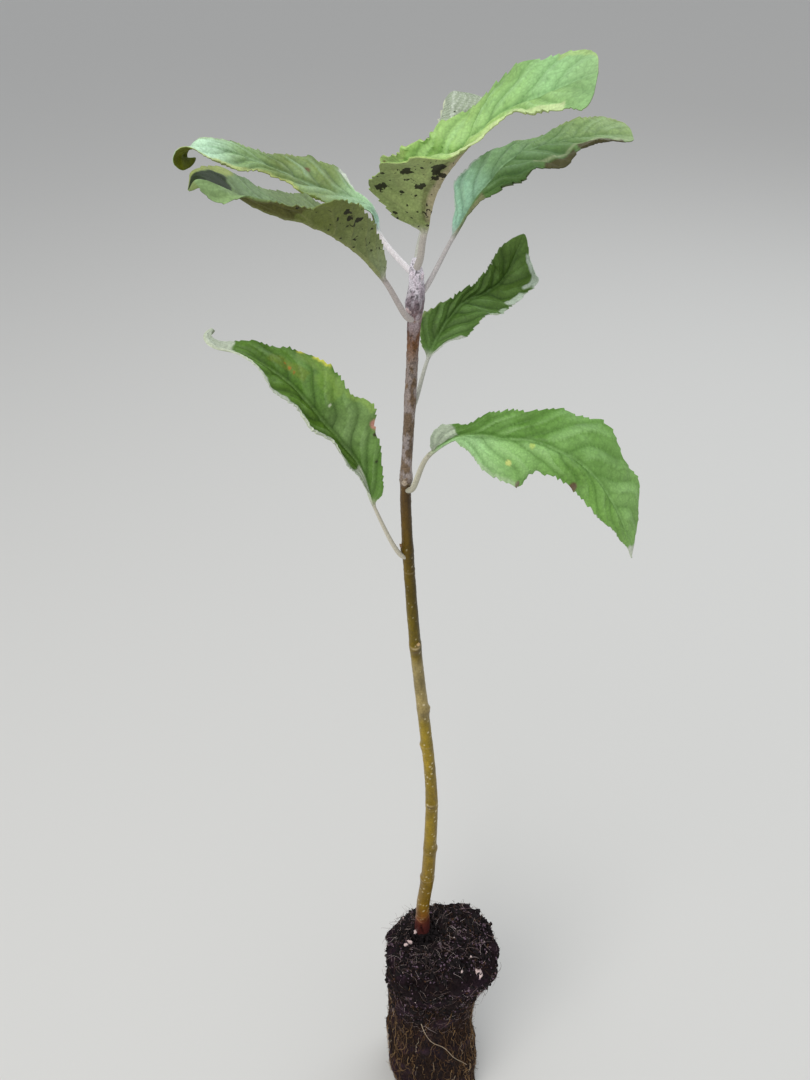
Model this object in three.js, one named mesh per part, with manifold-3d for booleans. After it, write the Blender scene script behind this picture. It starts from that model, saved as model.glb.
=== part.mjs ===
// A young apple sapling standing on its root ball, in millimetres, +Z up.
// The origin is the centre of the root ball's flat underside. +X is to the right and +Y to
// the back of the plant, as it is seen from its front.
import * as THREE from 'three';
import { mergeVertices } from 'three/addons/utils/BufferGeometryUtils.js';
import Module from 'manifold-3d';

// Root ball: a rounded square plug under a wider, looser cap of compost that hangs over it
// on the right. Each level has half its width and depth, the offset of its middle to the
// right, and the squareness of its outline (2 is round).
const BALL_COLUMNS = 44;
const BALL_LEVELS = [
  { z: 0, half: 24.6, deep: 23.4, right: -1.2, square: 4 },
  { z: 2.5, half: 25.4, deep: 24.2, right: -1.2, square: 4 },
  { z: 18, half: 25.6, deep: 24.2, right: -1.4, square: 4 },
  { z: 36, half: 25.8, deep: 24, right: -1.6, square: 4 },
  { z: 54, half: 26, deep: 23.8, right: -2, square: 4 },
  { z: 72, half: 25.4, deep: 23.6, right: -1.8, square: 4 },
  { z: 90, half: 24.2, deep: 23.2, right: -1, square: 4 },
  { z: 108, half: 23.2, deep: 22.8, right: -0.4, square: 4 },
  { z: 125, half: 23, deep: 22.6, right: 0.4, square: 3.6 },
  { z: 138, half: 24.6, deep: 22.6, right: 2, square: 3.2 },
  { z: 147, half: 26.6, deep: 22.8, right: 4.2, square: 2.8 },
  { z: 156, half: 28.8, deep: 23.2, right: 6.4, square: 2.6 },
  { z: 163, half: 29.8, deep: 23.6, right: 7.2, square: 2.6 },
  { z: 168, half: 29.2, deep: 23, right: 7.6, square: 2.6 },
  { z: 170, half: 26.4, deep: 20.4, right: 7.2, square: 2.6 },
];
const TOP_RINGS = [{ share: 0.35, swell: 1 }, { share: 0.75, swell: 0.8 }];
const BALL_LUMP = 0.8;
const SEAT_HEIGHT = 168.5;
const SEAT_RADIUS = 6.5;

// Stem: its foot stands on the seat, and its heights count from that foot
const SEAT_GAP = 0.3;
const STEM_FOOT = new THREE.Vector3(-2.7, 8.6, SEAT_HEIGHT + SEAT_GAP);
const STEM_COURSE = [
  [0, 0, 0], [1.5, 0, 28], [5, 0, 57], [7, 0, 84], [9, 0.5, 120], [9, 0.5, 143], [7.5, 0, 185],
  [6, 0, 224], [5.5, 0.5, 270], [6, 0.5, 297], [8.5, 0.5, 323], [11, 0.5, 350], [12.5, 0.5, 366],
  [12, 1, 374],
];
const STEM_RADII = [
  { z: 0, r: 4.3 }, { z: 12, r: 4.1 }, { z: 18, r: 3.5 }, { z: 57, r: 3.35 }, { z: 100, r: 3 },
  { z: 140, r: 2.6 }, { z: 235, r: 2.15 }, { z: 300, r: 1.75 }, { z: 345, r: 1.75 },
  { z: 362, r: 2.3 }, { z: 367, r: 2 }, { z: 369.5, r: 1.4 }, { z: 371, r: 0.5 },
];
const STEM_SIDES = 12;
const STEM_STEP = 5.2;
const CLOSEST_RINGS = 1;
// Swellings on the stem: height, side as an angle from the right, and how far they stand out.
// A share of each goes all the way round.
const NODE_SPREAD = 2.6;
const NODE_ROUND_SHARE = 0.25;
const STEM_NODES = [
  { z: 56, side: 180, out: 0.5 }, { z: 83, side: 0, out: 0.5 }, { z: 121, side: 250, out: 0.4 },
  { z: 163, side: 180, out: 0.5 }, { z: 187, side: 0, out: 0.6 }, { z: 224, side: 270, out: 0.7 },
  { z: 271, side: 190, out: 0.7 }, { z: 301, side: 290, out: 1.2 }, { z: 328, side: 80, out: 0.7 },
  { z: 359, side: 230, out: 1.2 },
];

// Leaves: thickness in the middle and the share of it that is lost at the margin, the height
// of the midrib's ridge underneath against its half width, and how much thinner it is at the
// tip. The narrowest half width closes the blade at its base and tip.
const LEAF_THICKNESS = 0.9;
const MARGIN_THINNING = 0.4;
const RIDGE_HEIGHT = 1.5;
const RIDGE_TAPER = 0.8;
const NARROWEST = 0.35;
// How finely each leaf is divided, and the share of the blade over which the round petiole
// flattens into it
const BLADE_SECTIONS = 24;
const PETIOLE_SECTIONS = 6;
const BLADE_SHARES = [0, 0.14, 0.55, 1];
const BLEND_SHARE = 0.1;
const PETIOLE_BLUNTNESS = 0.12;
const STEM_CLEARANCE = 0.3;
// A bend of fewer radians counts as straight
const STRAIGHT = 1e-4;

// Each leaf leaves the stem's axis at the height "node". Its petiole passes the point
// "petiole" and ends at the first point of "midrib". "radius" is the petiole's at its foot
// and at the blade, and "face" is the way the upper side looks. "rise" and "fall" round the
// outline towards base and tip: smaller is blunter. "wave" is the height of the margin's
// waves, their number and where they start. Left and right are as seen on the upper side
// with the tip ahead. Each half has its greatest "width", the share of the blade where it
// starts, and "widen" to vary its width. It rises from the midrib by "fold" degrees and
// bends by "curl" more degrees on its way to the margin. Values in a list are spaced evenly
// from the blade's base to its tip.
const LEAVES = {
  leaf_low_left: {
    node: 267, petiole: [2.6, -1.8, 271], radius: [0.9, 0.55],
    midrib: [[-4.2, -5, 293], [-8, -7.5, 312], [-15.5, -7.5, 325.5], [-25.5, -6, 340.5],
      [-35.5, -4.5, 348.5], [-44.5, -2.2, 351.6], [-46.2, -1, 353.8], [-45, 0, 355.2]],
    face: [[-0.2, -0.9, 0.5], [-0.1, -0.75, 0.7], [0.1, -0.5, 0.9]],
    rise: 0.7, fall: 0.85, wave: [0.8, 2.5, 0.1],
    left: { width: 12, start: 0.08, widen: [0.3, 0.3, 0.25, 0.45, 0.35, 0.68, 0.5, 0.7, 0.35, 0.3, 0.5],
      fold: [60, 40, 25, 20, 20], curl: [20, 60, 60, 40, 30] },
    right: { width: 11.5, widen: [0.7, 0.8, 0.73, 0.91, 1.26, 0.98, 1.11, 0.95, 0.74, 0.5, 0.4],
      fold: [15, 10, 10, 5, 0], curl: [10, 0, -10, -20, -20] },
  },
  leaf_low_right: {
    node: 296, petiole: [8, -3, 298.5], radius: [1.05, 0.75],
    midrib: [[13.5, -7.5, 313.5], [23.5, -13.5, 323.5], [34.5, -19.5, 325.5],
      [44.5, -23.5, 325.5], [58.5, -29.5, 318], [69.8, -35.7, 297.5], [70.5, -37, 292.6]],
    face: [[0, -0.5, 0.9], [0.1, -0.4, 1], [0.6, -0.5, 0.8]],
    rise: 0.8, fall: 0.8, wave: [0.8, 2.5, 0.3],
    left: { width: 14, widen: [1.6, 0.94, 0.32, 0.63, 0.6, 0.9, 1.15, 1, 1.4, 1.1, 0.4],
      fold: [130, 40, 20, 10, 5], curl: [0, 0, -10, -15, -10] },
    right: { width: 12.5, start: 0.14, widen: [1.2, 1.2, 1.04, 1.25, 1.2, 0.62, 0.55, 0.6, 0.66, 0.6, 0.4],
      fold: [10, -10, -10, 0, 5], curl: [-10, 0, -70, -30, -10] },
  },
  leaf_mid_right: {
    node: 324, petiole: [10.5, 3.5, 326], radius: [0.8, 0.55],
    midrib: [[15, 10.5, 336], [20, 18.5, 342], [27.5, 25.5, 347.5], [35.5, 30.5, 348.5],
      [41.5, 34.5, 351], [48, 38.5, 363]],
    face: [[-0.5, -0.6, 0.7], [-0.4, -0.7, 0.7], [-0.3, -0.9, 0.3]],
    rise: 0.6, fall: 0.7, wave: [0.8, 2.5, 0.3],
    left: { width: 9, widen: [0.9, 0.83, 1.05, 0.7, 0.4, 0.4, 0.64, 0.95, 1.2, 1.4, 1.2],
      fold: [20, 40, 50, 50, 40], curl: [0] },
    right: { width: 11, widen: [0.5, 0.5, 1.1, 1, 1.05, 1.15, 0.95, 1.05, 1.5, 0.8, 0.7],
      fold: [0, 0, 0, -10, -10], curl: [0, 20, 40, 50, 40] },
  },
  leaf_upper_right: {
    node: 360, petiole: [14.5, 1, 362], radius: [0.8, 0.6],
    midrib: [[22.5, 7.5, 372.5], [31, 9.5, 385], [40, 11.5, 392.6], [52, 13, 395.1],
      [60.6, 14, 395.6], [67, 15, 395], [72, 15.5, 394.2]],
    face: [[-0.7, -0.3, 0.6], [-0.3, -0.1, 0.9], [0.2, -0.1, 0.9]],
    rise: 0.62, fall: 0.35, wave: [0.8, 2.5, 0.3],
    left: { width: 10, widen: [1.2, 1.1, 2.5, 1.7, 1.15, 0.9, 0.85, 0.78, 0.75, 0.9, 0.8],
      fold: [10, 5, 0, 0, 0, 0, 0, 8, 16, 20, 30], curl: [0] },
    right: { width: 11, start: 0.12, widen: [0.3, 0.3, 0.3, 0.85, 1.35, 1.1, 1.34, 1.1, 0.8, 0.57, 0.5],
      fold: [0, -8, -15, -12, -8, -4, -2, 6, 6, 3, 0], curl: [0] },
  },
  leaf_upper_left_front: {
    node: 354, petiole: [9.5, -3, 356], radius: [0.95, 0.7],
    midrib: [[4, -13.5, 370.5], [-1.5, -21.5, 381], [-11, -34.5, 392.5], [-19, -43.5, 398.5],
      [-26, -49, 404.8], [-30.5, -51.5, 407], [-32.3, -52, 405.3]],
    face: [[0.2, 0.3, 0.9], [0, 0, 1], [0, 0, 1]],
    rise: 0.62, fall: 0.6, wave: [0.8, 2.5, 0.3],
    left: { width: 10.5, widen: [1, 0.65, 0.7, 0.85, 0.9, 0.87, 0.42, 0.3, 0.25, 0.55, 0.5],
      fold: [60, 58, 55, 50, 45, 42, 45, 40, 0, -70, -60], curl: [0] },
    right: { width: 13, widen: [1, 1, 1, 1, 0.95, 0.9, 0.85, 0.8, 0.75, 0.9, 0.6],
      fold: [50, 40, 30, 25, 20], curl: [0] },
  },
  leaf_upper_left_back: {
    node: 366, petiole: [10, 2.5, 368], radius: [0.9, 0.7],
    midrib: [[3.5, 6.5, 375.5], [1.5, 7.5, 383], [-11.5, 8.5, 388.5], [-23.3, 7.5, 394.7],
      [-33.7, 6, 399.8], [-40.5, 5, 401.2], [-45, 4, 399.5], [-45, 3.5, 396]],
    face: [[0.4, -0.2, 0.9], [0.3, -0.15, 0.9], [0.2, -0.2, 0.9], [0.1, -0.3, 0.9],
      [0, -0.5, 0.85], [-1, 0.9, 0.6]],
    rise: 0.62, fall: 0.5, wave: [0.8, 2.5, 0.3],
    left: { width: 11, widen: [1, 1, 1, 1, 0.8, 0.33, 0.27, 0.6, 0.54, 0.5, 0.6],
      fold: [30, 10, 0, 0, 0], curl: [0] },
    right: { width: 11, widen: [0.3, 0.2, 0.5, 1.15, 1, 0.78, 0.45, 0.28, 0.21, 0.35, 1.6],
      fold: [20, 10, 5, 5, 10], curl: [0] },
  },
  leaf_top_front: {
    node: 368, petiole: [13.5, -3, 372], radius: [1.05, 0.85],
    midrib: [[14.5, -7.5, 379.5], [17.5, -15.5, 393], [25, -22.5, 404.5], [31, -25.5, 410],
      [42.5, -31.5, 415.5], [49, -34.5, 418]],
    face: [[-0.85, 0.3, 0.4], [-0.75, 0.2, 0.6], [-0.45, 0, 0.85], [-0.3, -0.3, 0.85],
      [-0.3, -0.3, 0.85]],
    rise: 0.62, fall: 0.3, wave: [0.8, 2.5, 0.3],
    left: { width: 14, widen: [1.3, 1.3, 1.8, 1.1, 0.65, 0.7, 0.8, 0.82, 0.85, 0.85, 0.85],
      fold: [75, 85, 85, 92, 80, 28, 15, 8, 0, 2, 5], curl: [0] },
    right: { width: 15, widen: [1, 1.36, 1.65, 1.38, 1, 0.5, 0.15, 0.17, 0.45, 0.62, 1.2],
      fold: [60, 64, 67, 55, 37, 5, 0, -3, -3, 0, 0], curl: [0] },
  },
  leaf_top_young: {
    node: 367, petiole: [13, 4, 370.5], radius: [0.75, 0.6],
    midrib: [[16, 9.5, 379], [18.4, 13.5, 386], [23.2, 18, 394.5], [25.4, 22.5, 406.5]],
    face: [[0.3, 0.9, 0.2]],
    rise: 0.6, fall: 0.4, wave: [0.6, 2.5, 0.3],
    left: { width: 9.5, start: 0.6, widen: [1.2], fold: [5], curl: [10] },
    right: { width: 5.8, start: 0.5, widen: [1, 1, 1, 1, 1, 1, 1.3, 1.15, 1, 0.8, 0.6],
      fold: [30], curl: [20] },
  },
};

const YOUNGEST_LEAF = 'leaf_top_young';

// How finely a course is measured along its length, and how close two corners are joined
const COURSE_STEPS = 400;
const JOIN_DISTANCE = 1e-5;

const MATERIALS = {
  compost: { color: 0x1d1512, roughness: 0.95, metalness: 0 },
  bark: { color: 0x6b5a2a, roughness: 0.5, metalness: 0 },
  leaf: { color: 0x5f9a4a, roughness: 0.6, metalness: 0 },
  downy: { color: 0xb4beae, roughness: 0.8, metalness: 0 },
};

const wasm = await Module();
wasm.setup();

function ease(k) {
  return k * k * (3 - 2 * k);
}

// Value at the share t of evenly spaced values, eased from each to the next
function along(values, t) {
  const place = THREE.MathUtils.clamp(t, 0, 1) * (values.length - 1);
  const i = Math.min(Math.floor(place), Math.max(values.length - 2, 0));
  const k = ease(place - i);
  return values[i] * (1 - k) + (values[i + 1] ?? values[i]) * k;
}

// Value at z in a table of rows, straight between rows
function atHeight(rows, key, z) {
  const next = rows.findIndex((row) => row.z >= z);
  if (next === -1) return rows.at(-1)[key];
  if (next === 0) return rows[0][key];
  const [low, high] = [rows[next - 1], rows[next]];
  return THREE.MathUtils.mapLinear(z, low.z, high.z, low[key], high[key]);
}

// One closed body through rings of points. The rings turn anticlockwise about their course.
function loft(rings) {
  const columns = rings[0].length;
  const points = rings.flat();
  const index = [];
  for (let i = 0; i < rings.length - 1; i += 1) {
    for (let j = 0; j < columns; j += 1) {
      const a = i * columns + j;
      const b = i * columns + ((j + 1) % columns);
      index.push(a, b, b + columns, a, b + columns, a + columns);
    }
  }
  for (const [first, turned] of [[0, true], [(rings.length - 1) * columns, false]]) {
    const ring = points.slice(first, first + columns);
    const centre = ring.reduce((sum, p) => sum.add(p), new THREE.Vector3());
    points.push(centre.divideScalar(columns));
    for (let j = 0; j < columns; j += 1) {
      const a = first + j;
      const b = first + ((j + 1) % columns);
      index.push(...(turned ? [b, a] : [a, b]), points.length - 1);
    }
  }
  const geometry = new THREE.BufferGeometry().setFromPoints(points);
  geometry.setIndex(index);
  return geometry;
}

function toSolid(geometry) {
  const bare = mergeVertices(geometry, JOIN_DISTANCE);
  return new wasm.Manifold(new wasm.Mesh({
    numProp: 3,
    vertProperties: new Float32Array(bare.attributes.position.array),
    triVerts: new Uint32Array(bare.index.array),
  }));
}

function toGeometry(solid) {
  const mesh = solid.getMesh();
  const geometry = new THREE.BufferGeometry();
  geometry.setAttribute('position', new THREE.BufferAttribute(mesh.vertProperties, 3));
  geometry.setIndex(new THREE.BufferAttribute(mesh.triVerts, 1));
  return geometry;
}

function addMesh(group, name, geometry, material) {
  geometry.computeVertexNormals();
  const mesh = new THREE.Mesh(geometry, new THREE.MeshStandardMaterial(MATERIALS[material]));
  mesh.name = name;
  group.add(mesh);
}

// Root ball: rings up the sides and in over the top to the flat seat of the stem
function squarish(angle, squareness) {
  const across = Math.abs(Math.cos(angle)) ** squareness;
  const away = Math.abs(Math.sin(angle)) ** squareness;
  return (across + away) ** (-1 / squareness);
}

function ballLump(angle, z) {
  return Math.sin(3 * angle + z / 17) + 0.6 * Math.sin(7 * angle - z / 9)
    + 0.5 * Math.sin(11 * angle + z / 6);
}

function ballRing(level) {
  return Array.from({ length: BALL_COLUMNS }, (unused, j) => {
    const angle = (2 * Math.PI * j) / BALL_COLUMNS;
    const shape = squarish(angle, level.square);
    const rough = BALL_LUMP * ballLump(angle, level.z);
    return new THREE.Vector3(
      level.right + (level.half * shape + rough) * Math.cos(angle),
      (level.deep * shape + rough) * Math.sin(angle),
      level.z,
    );
  });
}

function seatRing(radius) {
  return Array.from({ length: BALL_COLUMNS }, (unused, j) => {
    const angle = (2 * Math.PI * j) / BALL_COLUMNS;
    return new THREE.Vector3(
      STEM_FOOT.x + radius * Math.cos(angle),
      STEM_FOOT.y + radius * Math.sin(angle),
      SEAT_HEIGHT,
    );
  });
}

// A ring on the way from the rim of the top to the seat, raised into a low swell
function topRing(rim, seat, { share, swell }) {
  return rim.map((point, j) => {
    const middle = point.clone().lerp(seat[j], share);
    middle.z += swell;
    return middle;
  });
}

function rootBall() {
  const rings = BALL_LEVELS.map(ballRing);
  const rim = rings.at(-1);
  const seat = seatRing(SEAT_RADIUS);
  return loft([...rings, ...TOP_RINGS.map((ring) => topRing(rim, seat, ring)), seat]);
}

// Stem: a wavy, tapering course with a flare at its foot and a swelling at each node
const stemCourse = new THREE.CatmullRomCurve3(
  STEM_COURSE.map((p) => new THREE.Vector3(...p)), false, 'centripetal',
);

const stemPoints = stemCourse.getSpacedPoints(COURSE_STEPS);

function stemAxis(z) {
  const next = Math.max(1, stemPoints.findIndex((p) => p.z >= z));
  const [low, high] = [stemPoints[next - 1], stemPoints[next]];
  return low.clone().lerp(high, (z - low.z) / (high.z - low.z));
}

function stemRadius(z, angle) {
  let radius = atHeight(STEM_RADII, 'r', z);
  for (const node of STEM_NODES) {
    const turn = Math.cos(angle - THREE.MathUtils.degToRad(node.side));
    const near = Math.exp(-(((z - node.z) / NODE_SPREAD) ** 2));
    const facing = (1 - NODE_ROUND_SHARE) * Math.max(0, turn) ** 2;
    radius += node.out * near * (NODE_ROUND_SHARE + facing);
  }
  return radius;
}

function stemHeights() {
  const top = STEM_RADII.at(-1).z;
  const steps = Math.round(top / STEM_STEP);
  const even = Array.from({ length: steps + 1 }, (unused, i) => (top * i) / steps);
  const extra = [...STEM_NODES, ...STEM_RADII].map((row) => row.z);
  return [...even, ...extra].sort((a, b) => a - b)
    .filter((z, i, all) => i === 0 || z - all[i - 1] > CLOSEST_RINGS || z === top);
}

function stem(clearance) {
  const rings = stemHeights().map((z) => {
    const centre = stemAxis(z);
    return Array.from({ length: STEM_SIDES }, (unused, j) => {
      const angle = (2 * Math.PI * j) / STEM_SIDES;
      const radius = stemRadius(z, angle) + clearance;
      return centre.clone().add(
        new THREE.Vector3(radius * Math.cos(angle), radius * Math.sin(angle), 0),
      );
    });
  });
  return loft(rings);
}

// Leaf: sideways and upward way of a half blade's surface at the share u from the midrib
function acrossBlade(width, fold, curl, u) {
  const slope = fold + curl * u;
  if (Math.abs(curl) < STRAIGHT) {
    return { out: width * u * Math.cos(fold), up: width * u * Math.sin(fold), slope };
  }
  return {
    out: (width * (Math.sin(slope) - Math.sin(fold))) / curl,
    up: (width * (Math.cos(fold) - Math.cos(slope))) / curl,
    slope,
  };
}

function bladeWidth(leaf, half, t) {
  const start = half.start ?? 0;
  const s = Math.max(0, (t - start) / (1 - start));
  const peak = leaf.rise / (leaf.rise + leaf.fall);
  const outline = (s ** leaf.rise * (1 - s) ** leaf.fall)
    / (peak ** leaf.rise * (1 - peak) ** leaf.fall);
  return Math.max(half.width * outline, NARROWEST) * along(half.widen ?? [1], t);
}

// Points of one half of a section, from the midrib to the margin, on top and underneath
function halfSection(leaf, half, side, t, petioleRadius) {
  const width = bladeWidth(leaf, half, t);
  const fold = THREE.MathUtils.degToRad(along(half.fold, t));
  const curl = THREE.MathUtils.degToRad(along(half.curl, t));
  const rib = leaf.radius[1] * (1 - RIDGE_TAPER * t);
  const [waveHeight, waves, phase] = leaf.wave;
  const swing = Math.sin(2 * Math.PI * (waves * t + phase)) * Math.sqrt(Math.sin(Math.PI * t));
  const blend = ease(THREE.MathUtils.clamp(t / BLEND_SHARE, 0, 1));
  return BLADE_SHARES.map((u) => {
    const { out, up, slope } = acrossBlade(width, fold, curl, u);
    const lift = waveHeight * u * u * swing;
    const top = new THREE.Vector2(
      side * (out - lift * Math.sin(slope)), up + lift * Math.cos(slope),
    );
    let thickness = LEAF_THICKNESS * (1 - MARGIN_THINNING * u);
    if (u * width < rib) {
      const ridge = RIDGE_HEIGHT * rib * Math.sqrt(1 - ((u * width) / rib) ** 2);
      thickness = Math.max(thickness, ridge);
    }
    const lean = u > 0 ? slope : 0;
    const under = top.clone().add(
      new THREE.Vector2(side * Math.sin(lean), -Math.cos(lean)).multiplyScalar(thickness),
    );
    const turn = (Math.PI / 2) * (1 - u);
    const edge = u === 1 ? PETIOLE_BLUNTNESS : 0;
    const roundOut = side * petioleRadius * Math.cos(turn);
    const roundUp = petioleRadius * (Math.sin(turn) + edge);
    return {
      top: new THREE.Vector2(roundOut, roundUp).lerp(top, blend),
      under: new THREE.Vector2(roundOut, -roundUp).lerp(under, blend),
    };
  });
}

// Sections along a leaf, each a ring round both halves: first the round petiole, which starts on
// the stem's axis, and then the blade
function leafRings(leaf) {
  const onward = [leaf.petiole, ...leaf.midrib].map((p) => new THREE.Vector3(...p));
  const course = new THREE.CatmullRomCurve3([stemAxis(leaf.node), ...onward], false, 'centripetal');
  course.arcLengthDivisions = COURSE_STEPS;
  const bladeBase = onward[1];
  const nearness = course.getSpacedPoints(COURSE_STEPS).map((p) => p.distanceTo(bladeBase));
  const petioleShare = nearness.indexOf(Math.min(...nearness)) / COURSE_STEPS;
  const shares = [];
  for (let i = 0; i < PETIOLE_SECTIONS; i += 1) {
    shares.push((petioleShare * i) / PETIOLE_SECTIONS);
  }
  for (let i = 0; i < BLADE_SECTIONS; i += 1) {
    const t = i / (BLADE_SECTIONS - 1);
    shares.push(petioleShare * (1 - t) + t);
  }
  return shares.map((share) => {
    const t = Math.max(0, (share - petioleShare) / (1 - petioleShare));
    const centre = course.getPointAt(share);
    const ahead = course.getTangentAt(share);
    const face = new THREE.Vector3(...[0, 1, 2].map(
      (axis) => along(leaf.face.map((f) => f[axis]), t),
    ));
    face.addScaledVector(ahead, -face.dot(ahead)).normalize();
    const right = new THREE.Vector3().crossVectors(ahead, face);
    const up = Math.min(1, share / petioleShare);
    const petioleRadius = THREE.MathUtils.lerp(leaf.radius[0], leaf.radius[1], up);
    const left = halfSection(leaf, leaf.left, -1, t, petioleRadius).reverse();
    const rest = halfSection(leaf, leaf.right, 1, t, petioleRadius).slice(1);
    const section = [...left, ...rest];
    const outline = [...section.map((s) => s.top), ...section.map((s) => s.under).reverse()];
    return outline.map((p) => centre.clone()
      .addScaledVector(right, p.x).addScaledVector(face, p.y));
  });
}

// The petiole is cut off clear of the stem's surface
function leafGeometry(leaf, fatStem) {
  return toGeometry(toSolid(loft(leafRings(leaf))).subtract(fatStem));
}

const sapling = new THREE.Group();
addMesh(sapling, 'root_ball', rootBall(), 'compost');

const shoot = new THREE.Group();
shoot.position.copy(STEM_FOOT);
sapling.add(shoot);
addMesh(shoot, 'stem', stem(0), 'bark');
const fatStem = toSolid(stem(STEM_CLEARANCE));
for (const [name, leaf] of Object.entries(LEAVES)) {
  addMesh(shoot, name, leafGeometry(leaf, fatStem), name === YOUNGEST_LEAF ? 'downy' : 'leaf');
}

export default sapling;
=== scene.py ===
import bpy
import numpy as np
from mathutils import Matrix


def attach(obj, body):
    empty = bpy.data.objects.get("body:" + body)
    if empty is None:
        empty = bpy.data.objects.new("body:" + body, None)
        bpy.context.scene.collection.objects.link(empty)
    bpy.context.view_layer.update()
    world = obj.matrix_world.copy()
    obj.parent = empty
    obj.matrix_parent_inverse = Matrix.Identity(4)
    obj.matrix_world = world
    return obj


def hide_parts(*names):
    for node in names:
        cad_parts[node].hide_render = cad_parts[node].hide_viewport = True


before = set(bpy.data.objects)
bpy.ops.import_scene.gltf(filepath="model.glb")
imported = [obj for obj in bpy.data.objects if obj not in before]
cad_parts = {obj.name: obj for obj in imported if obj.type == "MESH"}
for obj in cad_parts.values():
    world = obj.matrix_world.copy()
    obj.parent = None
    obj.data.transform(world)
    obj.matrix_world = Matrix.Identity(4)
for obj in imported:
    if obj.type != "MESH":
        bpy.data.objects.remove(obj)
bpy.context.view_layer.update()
MM = 0.001
FULL_TURN = 2 * np.pi

# Camera: where it stands, how far it looks down and how it is rolled, with its focal length
# in pixels of a picture 1080 pixels high
CAMERA_AT = (0.002, -0.208, 0.616)
CAMERA_PITCH = np.radians(38.4)
CAMERA_ROLL = np.radians(3.76)
FOCAL_PIXELS = 811
PICTURE_HEIGHT = 1080
SENSOR_MM = 36
NEAREST_SEEN = 0.01
# Floor, sky and lights, in metres and watts
FLOOR_REACH = 14
FLOOR_COLOUR = (214, 212, 208)
SKY_COLOUR = (0.93, 0.96, 1, 1)
SKY_STRENGTH = 0.55
LIGHTS = [
    ("sky_front", (-0.7, -1.1, 1.9), (0, 0, 0.35), 1.4, 24, (1, 0.99, 0.96)),
    ("sky_back", (0.9, 0.8, 1.6), (0, 0, 0.4), 1.2, 10, (0.9, 0.96, 1)),
]

# Root ball, as in the part: half width and depth, offset to the right and squareness by height
BALL_LEVELS = np.array([
    (0, 24.6, 23.4, -1.2, 4), (2.5, 25.4, 24.2, -1.2, 4), (18, 25.6, 24.2, -1.4, 4),
    (36, 25.8, 24, -1.6, 4), (54, 26, 23.8, -2, 4), (72, 25.4, 23.6, -1.8, 4),
    (90, 24.2, 23.2, -1, 4), (108, 23.2, 22.8, -0.4, 4), (125, 23, 22.6, 0.4, 3.6),
    (138, 24.6, 22.6, 2, 3.2), (147, 26.6, 22.8, 4.2, 2.8), (156, 28.8, 23.2, 6.4, 2.6),
    (163, 29.8, 23.6, 7.2, 2.6), (168, 29.2, 23, 7.6, 2.6), (170, 26.4, 20.4, 7.2, 2.6),
])
# The ball's unevenness: each wave's share, number round the ball and length up it
BALL_LUMP = 0.8
BALL_WAVES = [(1, 3, 17), (0.6, 7, -9), (0.5, 11, 6)]
# Pale flakes on the ball's top: where and how wide
PALE_FLAKES = [((-6.2, 5.8, 174), 1.9), ((-9.6, 1.2, 172.6), 2.9), ((-11.9, 0.1, 172.4), 2.7),
               ((26.2, -15.9, 169.6), 4.2), ((24.6, -14.6, 169.6), 3), ((17, -15.6, 171.8), 2.2),
               ((22.5, -8.3, 172), 1.2), ((14.4, 1.9, 173), 1)]
TOP_SWELL = np.array([(0, 0), (0.35, 1), (0.75, 0.8), (1, 0)])
SEAT_HEIGHT = 168.5
SEAT_RADIUS = 6.5
BALL_COLUMNS = 260
BALL_SIDE_ROWS = 170
BALL_TOP_ROWS = 42
# Height at which the matted sides begin to turn into the crumbly cap, and over how much
CAP_START = 118
CAP_BLEND = 40
CRUMB_SIZE = 5.5
STREAK_SIZE = 1.6
CAP_RELIEF = 1.5
SIDE_RELIEF = 0.75
STREAK_RELIEF = 0.55
STREAK_SQUASH = 0.22
# The relief is calm up to this height, and from this far round the stem over that distance
UNDERSIDE_CALM = 5
SEAT_CALM_START = 4
SEAT_CALM_BLEND = 6
SEAT_CALM_FROM = 160
COMPOST_DARK = (29, 20, 22)
COMPOST_BROWN = (38, 23, 14)
COMPOST_VIOLET = (66, 46, 62)
LUMP_UNEVENNESS = 0.28
# The sides of a lump, least and most, as shares of its size
LUMP_SIDES = ((0.7, 0.6, 0.35), (1.25, 1.1, 0.7))
# Roots: length of a step, the heights they keep between, and how far they stray from the
# plug's corners, in radians
ROOT_STEP = 1.7
ROOT_HEIGHTS = (1.2, 160)
CORNER_SPREAD = 0.22
# The ball's side is unrolled at this radius to lay a root through given points
UNROLLED_RADIUS = 25
# A direction that no thread runs along
ACROSS_THREADS = (0.3, 0.2, 0.93)
# The heap round the stem: where it starts, how wide it is, and its least and added height
HEAP_START = 4.3
HEAP_WIDTH = 3.6
HEAP_LEAST = 1.4
HEAP_MORE = 1.8

# Stem, as in the part: its heights count from its foot on the seat
STEM_FOOT = np.array([-2.7, 8.6, 168.8])
STEM_COURSE = [
    (0, 0, 0), (1.5, 0, 28), (5, 0, 57), (7, 0, 84), (9, 0.5, 120), (9, 0.5, 143), (7.5, 0, 185),
    (6, 0, 224), (5.5, 0.5, 270), (6, 0.5, 297), (8.5, 0.5, 323), (11, 0.5, 350),
    (12.5, 0.5, 366), (12, 1, 374),
]
STEM_RADII = np.array([
    (0, 4.3), (12, 4.1), (18, 3.5), (57, 3.35), (100, 3), (140, 2.6), (235, 2.15), (300, 1.75),
    (345, 1.75), (362, 2.3), (367, 2), (369.5, 1.4), (371, 0.5),
])
# Swellings: height, direction in degrees and how far they stand out
STEM_NODES = [
    (56, 180, 0.5), (83, 0, 0.5), (121, 250, 0.4), (163, 180, 0.5), (187, 0, 0.6), (224, 270, 0.7),
    (271, 190, 0.7), (301, 290, 1.2), (328, 80, 0.7), (359, 230, 1.2),
]
NODE_SPREAD = 2.6
NODE_ROUND_SHARE = 0.25
STEM_ROWS = 900
STEM_COLUMNS = 48

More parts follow.
